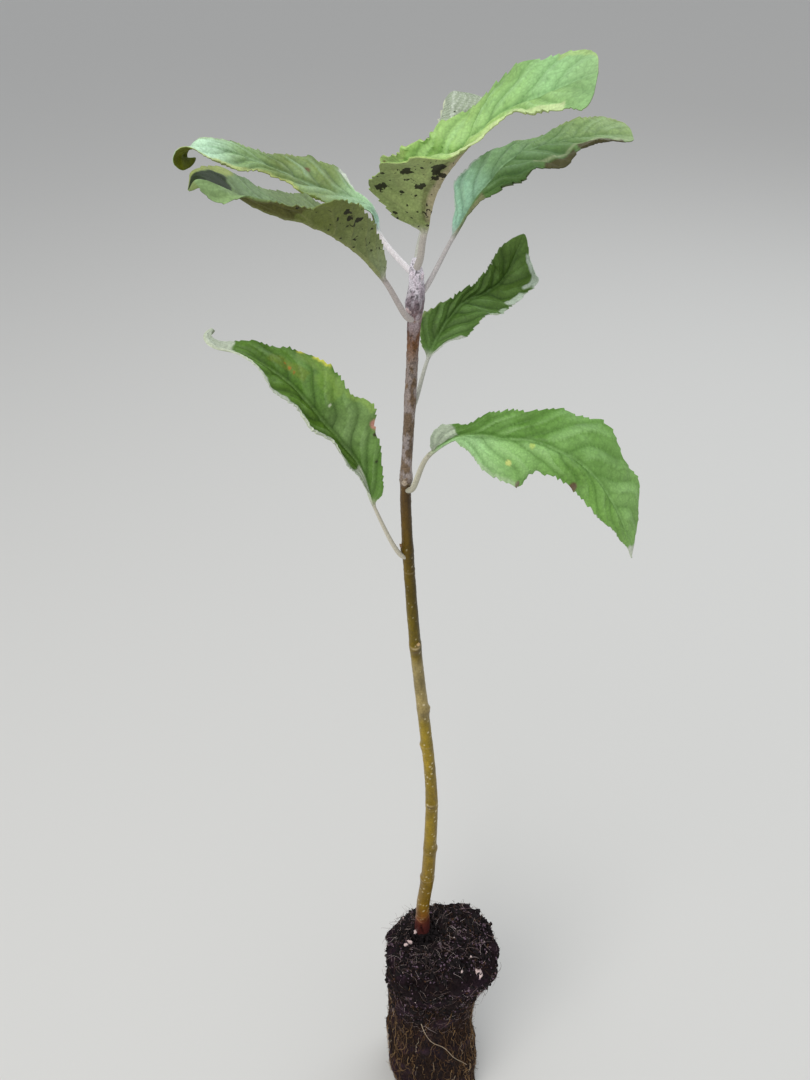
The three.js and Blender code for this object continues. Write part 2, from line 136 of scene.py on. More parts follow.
# Leaves, as in the part, apart from the thickness: the solids are thicker than a leaf is
LEAF_THICKNESS = 0.38
MARGIN_THINNING = 0.4
RIDGE_HEIGHT = 1.5
RIDGE_TAPER = 0.8
NARROWEST = 0.35
BLEND_SHARE = 0.1
PETIOLE_BLUNTNESS = 0.12
BLADE_SECTIONS = 230
PETIOLE_SECTIONS = 60
HALF_COLUMNS = 24
TOOTH_LENGTH = 2.1
TOOTH_DEPTH = 0.9
LOBE_LENGTH = 4.3
LOBE_DEPTH = 0.7
VEINS = 8
# How far a side vein runs ahead on its way to the margin, as a share of the blade's length,
# and the height of the swells between two
SWEEP = 0.24
QUILT = 0.9
# Width of a vein and of the shade beside it, as shares of half the space between two
VEIN_WIDTH = 0.12
VEIN_SHADE_WIDTH = 0.34
VEIN_RIDGE_WIDTH = 0.16
VEIN_RIDGE_HEIGHT = 0.16
FINE_VEIN_SPACE = 2.6
FINE_VEIN_DEPTH = 0.1
CREASE_DEPTH = 0.5
CREASE_WIDTH = 0.8
DENT_DEPTH = 0.28
DENT_SIZE = 3.6
RUFFLE_SIZE = 4.2
ROLLED_FROM = 0.86
ROLLED_OVER = 0.12
LEAST_CURL = 1e-4
LEAST_REACH = 0.2
TOOTH_SIZES = (0.3, 1.35)
# Half widths from which a blade has its full relief and its full teeth
FULL_RELIEF_WIDTH = 6
FULL_TEETH_WIDTH = 4
# Height, number and phase of the waves along the margin, where a leaf gives no others
USUAL_WAVE = (0.8, 2.5, 0.3)
# How strongly the veins' colour with its painted shade, and the painted sheen on the swells, cover
# a leaf's own
GROOVE_SHARE = 0.72
PAINTED_SHEEN_SHARE = 0.45
MARK_SHARE = 0.85
# Width in mm over which a patch of colour fades out
PATCH_BORDER = 0.6

# Each leaf's node is a height on the stem. Its petiole goes from there through one point to the
# midrib's first, thinning from the first radius to the second. "face" is the way its top faces
# along the blade. Each half has a width, and from base to tip how much it is widened, its fold
# up from the level in degrees and how much further it curls to its margin. "start" is where
# along the blade it begins.
LEAVES = {
    "leaf_low_left": dict(
        node=267, petiole=[2.6, -1.8, 271], radius=[0.9, 0.55],
        midrib=[[-4.2, -5, 293], [-8, -7.5, 312], [-15.5, -7.5, 325.5], [-25.5, -6, 340.5],
                [-35.5, -4.5, 348.5], [-44.5, -2.2, 351.6], [-46.2, -1, 353.8], [-45, 0, 355.2]],
        face=[[-0.2, -0.9, 0.5], [-0.1, -0.75, 0.7], [0.1, -0.5, 0.9]],
        rise=0.7, fall=0.85, wave=[0.8, 2.5, 0.1],
        left=dict(width=12, start=0.08,
                  widen=[0.3, 0.3, 0.25, 0.45, 0.35, 0.68, 0.5, 0.7, 0.35, 0.3, 0.5],
                  fold=[60, 40, 25, 20, 20], curl=[20, 60, 60, 40, 30]),
        right=dict(width=11.5, widen=[0.7, 0.8, 0.73, 0.91, 1.26, 0.98, 1.11, 0.95, 0.74, 0.5, 0.4],
                  fold=[15, 10, 10, 5, 0], curl=[10, 0, -10, -20, -20]),
    ),
    "leaf_low_right": dict(
        node=296, petiole=[8, -3, 298.5], radius=[1.05, 0.75],
        midrib=[[13.5, -7.5, 313.5], [23.5, -13.5, 323.5], [34.5, -19.5, 325.5],
                [44.5, -23.5, 325.5], [58.5, -29.5, 318], [69.8, -35.7, 297.5], [70.5, -37, 292.6]],
        face=[[0, -0.5, 0.9], [0.1, -0.4, 1], [0.6, -0.5, 0.8]],
        rise=0.8, fall=0.8,
        left=dict(width=14, widen=[1.6, 0.94, 0.32, 0.63, 0.6, 0.9, 1.15, 1, 1.4, 1.1, 0.4],
                  fold=[130, 40, 20, 10, 5], curl=[0, 0, -10, -15, -10]),
        right=dict(width=12.5, start=0.14,
                   widen=[1.2, 1.2, 1.04, 1.25, 1.2, 0.62, 0.55, 0.6, 0.66, 0.6, 0.4],
                   fold=[10, -10, -10, 0, 5], curl=[-10, 0, -70, -30, -10]),
    ),
    "leaf_mid_right": dict(
        node=324, petiole=[10.5, 3.5, 326], radius=[0.8, 0.55],
        midrib=[[15, 10.5, 336], [20, 18.5, 342], [27.5, 25.5, 347.5], [35.5, 30.5, 348.5],
                [41.5, 34.5, 351], [48, 38.5, 363]],
        face=[[-0.5, -0.6, 0.7], [-0.4, -0.7, 0.7], [-0.3, -0.9, 0.3]],
        rise=0.6, fall=0.7,
        left=dict(width=9, widen=[0.9, 0.83, 1.05, 0.7, 0.4, 0.4, 0.64, 0.95, 1.2, 1.4, 1.2],
                  fold=[20, 40, 50, 50, 40]),
        right=dict(width=11, widen=[0.5, 0.5, 1.1, 1, 1.05, 1.15, 0.95, 1.05, 1.5, 0.8, 0.7],
                  fold=[0, 0, 0, -10, -10], curl=[0, 20, 40, 50, 40]),
    ),
    "leaf_upper_right": dict(
        node=360, petiole=[14.5, 1, 362], radius=[0.8, 0.6],
        midrib=[[22.5, 7.5, 372.5], [31, 9.5, 385], [40, 11.5, 392.6], [52, 13, 395.1],
                [60.6, 14, 395.6], [67, 15, 395], [72, 15.5, 394.2]],
        face=[[-0.7, -0.3, 0.6], [-0.3, -0.1, 0.9], [0.2, -0.1, 0.9]],
        rise=0.62, fall=0.35,
        left=dict(width=10, widen=[1.2, 1.1, 2.5, 1.7, 1.15, 0.9, 0.85, 0.78, 0.75, 0.9, 0.8],
                  fold=[10, 5, 0, 0, 0, 0, 0, 8, 16, 20, 30]),
        right=dict(width=11, start=0.12,
                   widen=[0.3, 0.3, 0.3, 0.85, 1.35, 1.1, 1.34, 1.1, 0.8, 0.57, 0.5],
                   fold=[0, -8, -15, -12, -8, -4, -2, 6, 6, 3, 0]),
    ),
    "leaf_upper_left_front": dict(
        node=354, petiole=[9.5, -3, 356], radius=[0.95, 0.7],
        midrib=[[4, -13.5, 370.5], [-1.5, -21.5, 381], [-11, -34.5, 392.5], [-19, -43.5, 398.5],
                [-26, -49, 404.8], [-30.5, -51.5, 407], [-32.3, -52, 405.3]],
        face=[[0.2, 0.3, 0.9], [0, 0, 1], [0, 0, 1]],
        rise=0.62, fall=0.6,
        left=dict(width=10.5, widen=[1, 0.65, 0.7, 0.85, 0.9, 0.87, 0.42, 0.3, 0.25, 0.55, 0.5],
                  fold=[60, 58, 55, 50, 45, 42, 45, 40, 0, -70, -60]),
        right=dict(width=13, widen=[1, 1, 1, 1, 0.95, 0.9, 0.85, 0.8, 0.75, 0.9, 0.6],
                  fold=[50, 40, 30, 25, 20]),
    ),
    "leaf_upper_left_back": dict(
        node=366, petiole=[10, 2.5, 368], radius=[0.9, 0.7],
        midrib=[[3.5, 6.5, 375.5], [1.5, 7.5, 383], [-11.5, 8.5, 388.5], [-23.3, 7.5, 394.7],
                [-33.7, 6, 399.8], [-40.5, 5, 401.2], [-45, 4, 399.5], [-45, 3.5, 396]],
        face=[[0.4, -0.2, 0.9], [0.3, -0.15, 0.9], [0.2, -0.2, 0.9], [0.1, -0.3, 0.9],
                [0, -0.5, 0.85], [-1, 0.9, 0.6]],
        rise=0.62, fall=0.5,
        left=dict(width=11, widen=[1, 1, 1, 1, 0.8, 0.33, 0.27, 0.6, 0.54, 0.5, 0.6],
                  fold=[30, 10, 0, 0, 0]),
        right=dict(width=11, widen=[0.3, 0.2, 0.5, 1.15, 1, 0.78, 0.45, 0.28, 0.21, 0.35, 1.6],
                  fold=[20, 10, 5, 5, 10]),
    ),
    "leaf_top_front": dict(
        node=368, petiole=[13.5, -3, 372], radius=[1.05, 0.85],
        midrib=[[14.5, -7.5, 379.5], [17.5, -15.5, 393], [25, -22.5, 404.5], [31, -25.5, 410],
                [42.5, -31.5, 415.5], [49, -34.5, 418]],
        face=[[-0.85, 0.3, 0.4], [-0.75, 0.2, 0.6], [-0.45, 0, 0.85], [-0.3, -0.3, 0.85],
                [-0.3, -0.3, 0.85]],
        rise=0.62, fall=0.3,
        left=dict(width=14, widen=[1.3, 1.3, 1.8, 1.1, 0.65, 0.7, 0.8, 0.82, 0.85, 0.85, 0.85],
                  fold=[75, 85, 85, 92, 80, 28, 15, 8, 0, 2, 5]),
        right=dict(width=15, widen=[1, 1.36, 1.65, 1.38, 1, 0.5, 0.15, 0.17, 0.45, 0.62, 1.2],
                  fold=[60, 64, 67, 55, 37, 5, 0, -3, -3, 0, 0]),
    ),
    "leaf_top_young": dict(
        node=367, petiole=[13, 4, 370.5], radius=[0.75, 0.6],
        midrib=[[16, 9.5, 379], [18.4, 13.5, 386], [23.2, 18, 394.5], [25.4, 22.5, 406.5]],
        face=[[0.3, 0.9, 0.2]],
        rise=0.6, fall=0.4, wave=[0.6, 2.5, 0.3],
        left=dict(width=9.5, start=0.6, widen=[1.2], fold=[5], curl=[10]),
        right=dict(width=5.8, start=0.5, widen=[1, 1, 1, 1, 1, 1, 1.3, 1.15, 1, 0.8, 0.6],
                   fold=[30], curl=[20]),
    ),
}

# In a patch these stand for no limit on that side
BASE, TIP = -1, 2
RIB, EDGE = -1, 2
# Colours are written as they look on a screen, 0 to 255. "top" and "under" run from the
# blade's base to its tip, for each half where the halves differ; on top the halves differ partly
# by painted light and shade, one half painted lighter and the other darker as they face the light.
# "groove" is the colour in the sunken veins on top, partly their own darker colour and partly
# painted shade, "vein" that of the raised ones underneath, and "painted_sheen" the pale cast
# between them, a painted sheen of the sky on the swells. "specks" is how thickly dark specks
# cover the underside, and "dots" are thick spots of them: half, places along and across that
# half, radius in mm and strength.
# A patch is its side, half, start and end along, start and end across, colour and strength.
# A mark is its half, places along and across that half, radius in mm and colour.
# Some leaves also give "veins", the number of side veins, "sweep", how far they run ahead,
# "ribs", how strongly they show underneath, "tooth" and "ragged", the size of teeth and lobes,
# "ruffle", the height of the margin's ripples in mm, and "tip_roll", how much thicker a rolled
# tip is.
LEAF_LOOKS = {
    "leaf_low_left": dict(
        # On top, the lighter third tone of the right half is a painted sheen
        top=dict(left=[(98, 132, 52), (98, 134, 48), (102, 140, 48), (96, 134, 44), (96, 120, 62)],
                 right=[(92, 132, 50), (92, 132, 52), (118, 150, 84), (92, 132, 46), (78, 114, 30),
                        (84, 120, 42)]),
        under=[(190, 198, 172)], groove=(46, 74, 22), vein=(204, 210, 188), painted_sheen=(146, 178, 116),
        petiole=(196, 190, 172), ruffle=0.7, tip_roll=1.1,
        patches=[("top", "left", BASE, 0.24, RIB, EDGE, (200, 206, 186), 0.95),
                 ("top", "left", 0.2, TIP, 0.82, EDGE, (208, 214, 198), 0.95),
                 ("top", "left", 0.87, TIP, RIB, EDGE, (190, 198, 180), 0.9),
                 ("top", "right", 0.88, TIP, RIB, EDGE, (190, 198, 180), 0.9),
                 ("top", "right", 0.6, 0.645, 0.93, EDGE, (214, 212, 84), 0.9),
                 ("top", "right", 0.665, 0.685, 0.92, EDGE, (208, 196, 80), 0.9),
                 ("top", "right", 0.5, 0.68, 0.7, 0.95, (132, 162, 78), 0.5),
                 ("top", "right", 0.62, 0.76, 0.25, 0.55, (112, 132, 44), 0.6),
                 ("top", "right", 0.38, 0.5, 0.86, EDGE, (146, 178, 86), 0.55),
                 ("top", "right", 0.5, 0.6, 0.45, 0.8, (122, 156, 60), 0.4)],
        marks=[("right", 0.68, 0.36, 0.5, (170, 112, 40)),
               ("right", 0.7, 0.42, 0.35, (150, 104, 40)),
               ("right", 0.66, 0.31, 0.35, (160, 110, 44)),
               ("right", 0.5, 0.4, 0.35, (206, 214, 186)),
               ("right", 0.34, 0.98, 1.4, (190, 130, 120)),
               ("right", 0.31, 0.96, 0.7, (52, 26, 24)),
               ("right", 0.23, 0.76, 0.5, (40, 40, 20))],
    ),
    "leaf_low_right": dict(
        top=dict(left=[(138, 172, 104), (90, 132, 52), (102, 147, 63), (112, 155, 76),
                       (130, 172, 94), (124, 162, 88)],
                 right=[(172, 212, 152), (170, 214, 148), (132, 176, 98), (110, 154, 70),
                        (118, 162, 76), (124, 162, 88)]),
        under=[(184, 198, 170)], groove=(74, 114, 42), vein=(130, 156, 114), painted_sheen=(156, 196, 128),
        petiole=(188, 184, 164), ruffle=0.6, ragged=1.2,
        patches=[("top", "left", BASE, 0.16, 0.08, EDGE, (184, 196, 172), 0.95),
                 ("under", "left", BASE, 0.17, RIB, EDGE, (184, 196, 172), 0.95),
                 ("top", "right", 0.16, 0.4, 0.92, EDGE, (176, 198, 156), 0.6),
                 ("top", "left", 0.955, TIP, RIB, EDGE, (196, 200, 184), 0.9),
                 ("top", "right", 0.955, TIP, RIB, EDGE, (196, 200, 184), 0.9)],
        marks=[("right", 0.36, 0.6, 0.8, (206, 212, 122)),
               ("right", 0.43, 0.13, 0.8, (180, 202, 104)),
               ("right", 0.63, 1, 1.5, (88, 44, 44)), ("right", 0.4, 0.96, 0.9, (112, 92, 84))],
    ),
    "leaf_mid_right": dict(
        top=dict(left=[(84, 118, 48), (84, 116, 46), (78, 108, 40), (92, 124, 50), (104, 136, 60)],
                 right=[(92, 128, 58), (86, 120, 50), (84, 117, 47), (94, 126, 52),
                        (104, 138, 62)]),
        under=[(200, 208, 190)], groove=(40, 68, 16), vein=(190, 200, 176), painted_sheen=(130, 168, 98),
        petiole=(204, 204, 192), ruffle=1, ragged=0.9,
        patches=[("top", "right", 0.62, 0.72, 0.76, EDGE, (206, 220, 200), 0.95),
                 ("top", "right", 0.75, 0.9, 0.7, EDGE, (204, 218, 200), 0.95),
                 ("top", "right", 0.44, 0.5, 0.88, EDGE, (184, 200, 174), 0.9),
                 ("top", "right", 0.53, 0.58, 0.84, EDGE, (176, 194, 166), 0.9),
                 ("top", "right", BASE, 0.2, 0.8, EDGE, (204, 208, 196), 0.9),
                 ("top", "left", BASE, 0.35, 0.93, EDGE, (160, 176, 120), 0.7)],
    ),
    "leaf_upper_right": dict(
        top=dict(left=[(166, 210, 188), (150, 194, 162), (126, 162, 110), (112, 144, 84),
                       (138, 166, 104), (140, 166, 106)],
                 right=[(136, 166, 118), (92, 128, 62), (82, 116, 52), (96, 130, 68),
                        (124, 152, 88), (134, 158, 102)]),
        under=[(92, 102, 66), (66, 60, 38)], specks=0.2, groove=(66, 100, 56), vein=(120, 130, 92),
        painted_sheen=(146, 180, 138), petiole=(196, 190, 188),
        patches=[("top", "left", 0.06, 0.36, 0.93, EDGE, (190, 200, 186), 0.8),
                 ("top", "right", BASE, 0.24, 0.2, EDGE, (142, 138, 104), 0.75),
                 # Painted shade: the outer part of the right half is painted dark, as an edge
                 # turned under in shade, and the pale strip inside it is a painted highlight along
                 # that edge
                 ("top", "right", 0.53, 0.67, 0.76, EDGE, (84, 78, 44), 0.95),
                 ("top", "right", 0.69, 0.93, 0.74, EDGE, (80, 72, 40), 0.95),
                 ("top", "right", 0.5, 0.96, 0.64, 0.72, (164, 176, 134), 0.7),
                 ("top", "left", 0.5, 1, 0.93, EDGE, (140, 152, 92), 0.5)],
    ),
    "leaf_upper_left_front": dict(
        top=dict(left=[(118, 134, 80), (124, 142, 86), (140, 170, 112)],
                 right=[(116, 132, 78), (116, 132, 80), (120, 140, 90), (124, 150, 104),
                        (118, 138, 84)]),
        under=[(164, 176, 136), (132, 144, 90), (112, 122, 62), (88, 96, 40), (60, 68, 24)],
        specks=0.42, groove=(78, 94, 44), vein=(146, 150, 96), painted_sheen=(136, 160, 116),
        petiole=(186, 176, 172), ragged=0.8,
        # Painted shade: the top of the curled tip is painted dark, as its underside in shade
        patches=[("top", "right", 0.85, TIP, RIB, 0.7, (24, 40, 0), 0.97),
                 ("top", "right", 0.82, TIP, 0.74, EDGE, (156, 166, 88), 0.75),
                 ("top", "left", 0.97, TIP, RIB, EDGE, (120, 128, 66), 0.6),
                 ("under", "left", 0.6, 0.82, RIB, EDGE, (92, 90, 44), 0.75)],
        dots=[(0.36, 0.5, 0.9, 1.2), (0.3, 0.62, 0.8, 1.2), (0.22, 0.6, 0.8, 1.2),
              (0.4, 0.55, 1, 1.2), (0.5, 0.5, 0.9, 1.1), (0.33, 0.3, 0.7, 1), (0.27, 0.8, 0.7, 1.1),
              (0.44, 0.7, 1.3, 1.4), (0.36, 0.72, 1.2, 1.4), (0.47, 0.35, 1, 1.2)],
        dots_half="left",
    ),
    "leaf_upper_left_back": dict(
        # The pale blue tones at the base and near the tip are a painted sheen of the sky
        top=[(196, 244, 236), (160, 196, 150), (126, 146, 82), (120, 138, 74), (142, 172, 112),
             (196, 230, 198), (180, 208, 166)],
        under=[(96, 104, 20), (88, 96, 10)], specks=0.1, groove=(64, 94, 56), vein=(104, 112, 44),
        painted_sheen=(168, 202, 168), petiole=(240, 234, 236),
        patches=[("top", "left", 0.45, 0.93, 0.86, EDGE, (180, 190, 116), 0.75),
                 ("top", "right", BASE, 0.3, 0.84, EDGE, (208, 212, 202), 0.8),
                 ("top", "right", 0.5, 0.95, 0.9, EDGE, (150, 160, 104), 0.5)],
        marks=[("right", 0.42, 0.5, 0.8, (110, 84, 60))],
    ),
    "leaf_top_front": dict(
        top=dict(left=[(178, 210, 142), (184, 218, 146), (178, 214, 130), (160, 196, 114),
                       (148, 190, 112), (148, 192, 128), (152, 190, 130)],
                 right=[(160, 194, 106), (166, 202, 108), (172, 202, 116), (152, 190, 112),
                        (148, 190, 124)]),
        under=[(150, 166, 104), (162, 178, 114), (130, 142, 74), (136, 152, 92)], specks=0.5,
        groove=(86, 130, 70), vein=(160, 164, 112), painted_sheen=(166, 208, 150), petiole=(204, 196, 188),
        ragged=1.3, tooth=1.3,
        patches=[("top", "left", 0.08, 0.32, 0.82, EDGE, (190, 210, 130), 0.65),
                 ("top", "right", 0.48, 0.9, 0.7, EDGE, (208, 224, 164), 0.75),
                 ("top", "left", 0.84, TIP, 0.82, EDGE, (176, 202, 124), 0.55),
                 ("under", "left", BASE, 0.6, RIB, 0.16, (176, 164, 134), 0.9),
                 ("under", "right", 0.1, 0.6, RIB, 0.07, (176, 164, 134), 0.9),
                 ("under", "right", 0.1, 0.4, 0.08, 0.16, (76, 64, 40), 0.6)],
        dots=[(0.31, 0.58, 1.3, 2), (0.21, 0.8, 1.4, 2), (0.36, 0.2, 1.9, 2),
              (0.25, 0.24, 1.5, 1.7), (0.2, 0.5, 1.1, 1.5), (0.15, 0.42, 0.9, 1.4),
              (0.12, 0.2, 1, 1.3), (0.32, 0.1, 1.8, 1.8), (0.27, 0.45, 0.9, 1.4)],
        dots_half="right",
        marks=[("left", 0.22, 0.9, 0.5, (120, 90, 50))],
    ),
    "leaf_top_young": dict(
        top=[(172, 184, 162)], under=[(168, 180, 158), (172, 184, 162)], specks=0.45,
        groove=(120, 134, 110), vein=(228, 234, 224), painted_sheen=(206, 214, 202),
        petiole=(194, 194, 184), veins=15, sweep=0.75, ribs=0.85, ragged=1.1, tooth=2.2,
        patches=[("under", "right", BASE, 0.95, 0.9, EDGE, (226, 230, 200), 0.8),
                 ("under", "left", 0.66, 0.82, 0.5, 0.78, (74, 80, 60), 0.8),
                 ("under", "left", 0.4, 0.64, 0.8, EDGE, (206, 214, 206), 0.6)],
    ),
}
SPECK_COLOUR = (30, 27, 16)

# Stem colours by height, from the collar to the downy top
STEM_COLOURS = [
    (0, (66, 30, 30)), (12, (82, 38, 34)), (17, (104, 52, 36)), (21, (126, 78, 32)),
    (32, (118, 90, 14)), (60, (114, 90, 8)), (100, (132, 108, 10)), (150, (136, 112, 14)),
    (180, (132, 112, 24)), (186, (148, 130, 80)), (214, (148, 132, 84)), (220, (108, 90, 16)),
    (237, (98, 82, 4)), (274, (76, 58, 4)), (298, (84, 62, 30)), (303, (124, 104, 84)),
    (321, (120, 100, 80)), (340, (104, 82, 58)), (346, (106, 72, 42)), (351, (94, 62, 46)),
    (354, (126, 102, 102)), (359, (112, 96, 102)), (364, (180, 168, 178)), (371, (222, 214, 224)),
]
DOWN_COLOUR = (222, 216, 224)
LENTICEL_COLOUR = (222, 208, 168)
# Painted light and shade: where the left of the stem is painted lighter than its right, as lit
# from the left, by height, and how much
SUNNY_SIDE = [(0, 0), (30, 0.14), (100, 0.22), (185, 0.28), (190, 0.16), (215, 0.16),
              (222, 0.5), (298, 0.5), (303, 0.16), (371, 0)]
# Fine lines that run round the stem: heights and strengths
STEM_LINES = [(22, 0.4), (57.5, 0.5), (83, 0.4), (118, 0.3), (164.5, 0.4), (225.6, 0.6),
              (262, 0.3), (300, 0.5), (354.5, 0.3)]
LINE_WIDTH = 0.28
LINE_HEIGHT = 0.1
LINE_COLOUR = (170, 150, 110)
# The pale ring on the collar, and the upright crack with its branch: directions in degrees
RING_HEIGHT = 17.4
RING_RELIEF = 0.15
RING_COLOUR = (196, 150, 110)
CRACK_HEIGHT = 10
CRACK_REACH = 4.6
CRACK_SIDE = 266
CRACK_BRANCH_SIDE = 250
CRACK_LEAN = 0.05
CRACK_DEPTH = 0.5
# Heights of the grain, the fine bands, the young bark's relief and the collar's
GRAIN_HEIGHT = 0.07
BAND_HEIGHT = 0.05
YOUNG_HEIGHT = 0.1
COLLAR_HEIGHT = 0.22
COLLAR_TOP = 15
YOUNG_FROM = 292
YOUNG_OVER = 60
SCAR_COLOUR = (92, 74, 52)
SCAR_LIP_HEIGHT = 0.25
SCAR_LIP_COLOUR = (188, 168, 128)
BARE_NODES = 6
# Lenticels, which are smaller and fainter above the middle of the stem
LENTICELS = 270
LENTICEL_START = 19
LENTICEL_REACH = 290
LENTICEL_RADII = (0.2, 0.42)
LENTICEL_HEIGHT = 0.12
LENTICEL_SPAN = (190, 230)
# Share of down, and of dark specks in it, by height
DOWN = np.array([(298, 0), (303, 0.28), (340, 0.2), (346, 0.05), (352, 0.25), (360, 0.4),
                 (366, 0.75), (371, 0.9)])
DOWN_SPECKS = np.array([(296, 0), (304, 0.5), (352, 0.5), (362, 0.9)])
SMOOTH_BARK_TOP = 300
# Buds, and the scales at the tip: height, direction in degrees, width and length, lean in
# radians, colour and seed
BUDS = [
    ("bud_low_right", 299.5, 262, (2.1, 3.3), 0.8, (186, 168, 148), 3),
    ("bud_upper_left", 356.5, 226, (1.9, 3), 0.8, (196, 176, 176), 4),
    ("bud_low_left", 272, 190, (1.5, 2.4), 0.5, (140, 112, 84), 5),
    ("bud_mid_right", 329, 85, (1.6, 2.6), 0.4, (150, 132, 120), 6),
    ("bud_middle", 226, 300, (1.7, 2.6), 0.8, (168, 140, 96), 8),
    ("scale_top_left", 365.5, 232, (1.6, 3.6), 0.35, (226, 214, 224), 9),
    ("scale_top_right", 365, 318, (1.3, 3), 0.45, (204, 190, 198), 10),
    ("scale_top_back", 366, 100, (1.5, 3.4), 0.2, (216, 206, 214), 11),
]
BUD_ROWS = 26
BUD_COLUMNS = 20
BUD_SUNK = 0.9


# Numbers
def linear(colour):
    value = np.asarray(colour, float) / 255
    return np.where(value <= 0.04045, value / 12.92, ((value + 0.055) / 1.055) ** 2.4)


def ease(k):
    return k * k * (3 - 2 * k)


def along(values, t):
    """Value at the share t of evenly spaced values, eased from each to the next."""
    values = np.atleast_2d(np.asarray(values, float).T).T
    place = np.clip(t, 0, 1) * (len(values) - 1)
    low = np.minimum(np.floor(place).astype(int), max(len(values) - 2, 0))
    high = np.minimum(low + 1, len(values) - 1)
    k = ease(place - low)[:, None]
    result = values[low] * (1 - k) + values[high] * k
    return result[:, 0] if result.shape[1] == 1 else result


def noise(points, size, seed):
    """Smooth values from -1 to 1 on a lattice of cells of that size."""
    table = np.random.default_rng(seed).uniform(-1, 1, 4096)
    place = np.asarray(points, float) / size + 64.5
    cell = np.floor(place).astype(np.int64)
    k = ease(place - cell)
    total = np.zeros(len(place))
    for corner in range(8):
        step = np.array([corner & 1, corner >> 1 & 1, corner >> 2 & 1])
        x, y, z = (cell + step).T
        index = (x * 73856093 ^ y * 19349663 ^ z * 83492791) & 4095
        weight = np.prod(np.where(step, k, 1 - k), axis=1)
        total += weight * table[index]
    return total


def rough(points, size, octaves, seed):
    """Noise with finer and finer detail: the largest size, how many sizes and a seed."""
    return sum(noise(points, size / 2 ** i, seed + i) / 2 ** i for i in range(octaves))


def ramp(value, start, over):
    """Eased from 0 at the start to 1 at that distance after it."""
    return ease(np.clip((value - start) / over, 0, 1))


def bell(value, width, power=2):
    """1 where the value is 0, and falling off over that width."""
    return np.exp(-((value / width) ** power))


def table_at(place, places, rows):
    """A table's rows, interpolated at those places."""
    return np.stack([np.interp(place, places, rows[:, i]) for i in range(rows.shape[1])], -1)


def turn_from(angle, side):
    """Turn from one way to another, from half a turn back to half a turn ahead."""
    return (angle - side + np.pi) % FULL_TURN - np.pi


def paint(tint, colour, share):
    """Moves each point's colour towards that one by its share."""
    tint += (linear(colour) - tint) * share[:, None]


class Course:
    """A centripetal Catmull-Rom curve through points, measured by its own length."""

    def __init__(self, points, steps=1600):
        points = np.asarray(points, float)
        before = 2 * points[0] - points[1]
        after = 2 * points[-1] - points[-2]
        whole = np.vstack([before, points, after])
        pieces = []
        per_piece = max(8, steps // (len(points) - 1))
        share = np.linspace(0, 1, per_piece, endpoint=False)[:, None]
        for i in range(len(points) - 1):
            a, b, c, d = whole[i:i + 4]
            d0, d1, d2 = (np.linalg.norm(q - p) ** 0.5 for p, q in ((a, b), (b, c), (c, d)))
            start = ((b - a) / d0 - (c - a) / (d0 + d1) + (c - b) / d1) * d1
            end = ((c - b) / d1 - (d - b) / (d1 + d2) + (d - c) / d2) * d1
            pieces.append(
                b + start * share + (3 * (c - b) - 2 * start - end) * share ** 2
                + (2 * (b - c) + start + end) * share ** 3
            )
        self.points = np.vstack([*pieces, points[-1:]])
        steps = np.linalg.norm(np.diff(self.points, axis=0), axis=1)
        self.run = np.concatenate([[0], np.cumsum(steps)])
        self.length = self.run[-1]

    def at(self, share):
        return table_at(np.asarray(share) * self.length, self.run, self.points)

    def ahead(self, share, reach=0.004):
        share = np.asarray(share)
        way = self.at(np.minimum(share + reach, 1)) - self.at(np.maximum(share - reach, 0))
        return way / np.linalg.norm(way, axis=1, keepdims=True)

    def share_near(self, point):
        nearest = np.argmin(np.linalg.norm(self.points - point, axis=1))
        return self.run[nearest] / self.length


stem_course = Course(STEM_COURSE, 3000)


def stem_axis(z):
    return table_at(z, stem_course.points[:, 2], stem_course.points)


# Meshes and materials
def ring_faces(rings, columns):
    """Four-cornered faces between rings of points, closed round each ring."""
    i, j = np.meshgrid(np.arange(rings - 1), np.arange(columns), indexing="ij")
    a = i * columns + j
    b = i * columns + (j + 1) % columns
    return np.stack([a, b, b + columns, a + columns], -1).reshape(-1, 4)


def end_faces(rings, columns):
    """Faces that close the first and the last ring."""
    return [list(range(columns))[::-1], list(range((rings - 1) * columns, rings * columns))]


def add_object(name, data):
    thing = bpy.data.objects.new(name, data)
    bpy.context.scene.collection.objects.link(thing)
    return thing


def make_piece(name, points, faces, materials, tint=None, face_material=None, sharp=None):
    """A mesh object from points in millimetres in the row frame."""
    mesh = bpy.data.meshes.new(name)
    mesh.from_pydata((np.asarray(points) * MM).tolist(), [], [list(f) for f in faces])
    for material in materials:
        mesh.materials.append(material)
    mesh.polygons.foreach_set("use_smooth", np.ones(len(mesh.polygons), bool))
    if face_material is not None:
        mesh.polygons.foreach_set("material_index", np.asarray(face_material, np.int32))
    if tint is not None:
        layer = mesh.color_attributes.new("tint", "FLOAT_COLOR", "POINT")
        whole = np.ones((len(points), 4))
        whole[:, :tint.shape[1]] = tint
        layer.data.foreach_set("color", whole.ravel())
    mesh.update()
    if sharp is not None:
        mesh.set_sharp_from_angle(angle=np.radians(sharp))
    piece = add_object(name, mesh)
    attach(piece, "root")
    return piece


# Where most of a noise texture's values lie, how dark the net's lines start and end, and what
# is taken off the noise where dark specks are rarest and thickest
NOISE_SPAN = (0.3, 0.7)
NET_SPAN = (0.02, 0.16)
SPECK_SPAN = (-0.76, -0.3)
SPECK_EDGE = 0.025
SPECK_SHARE = 0.92


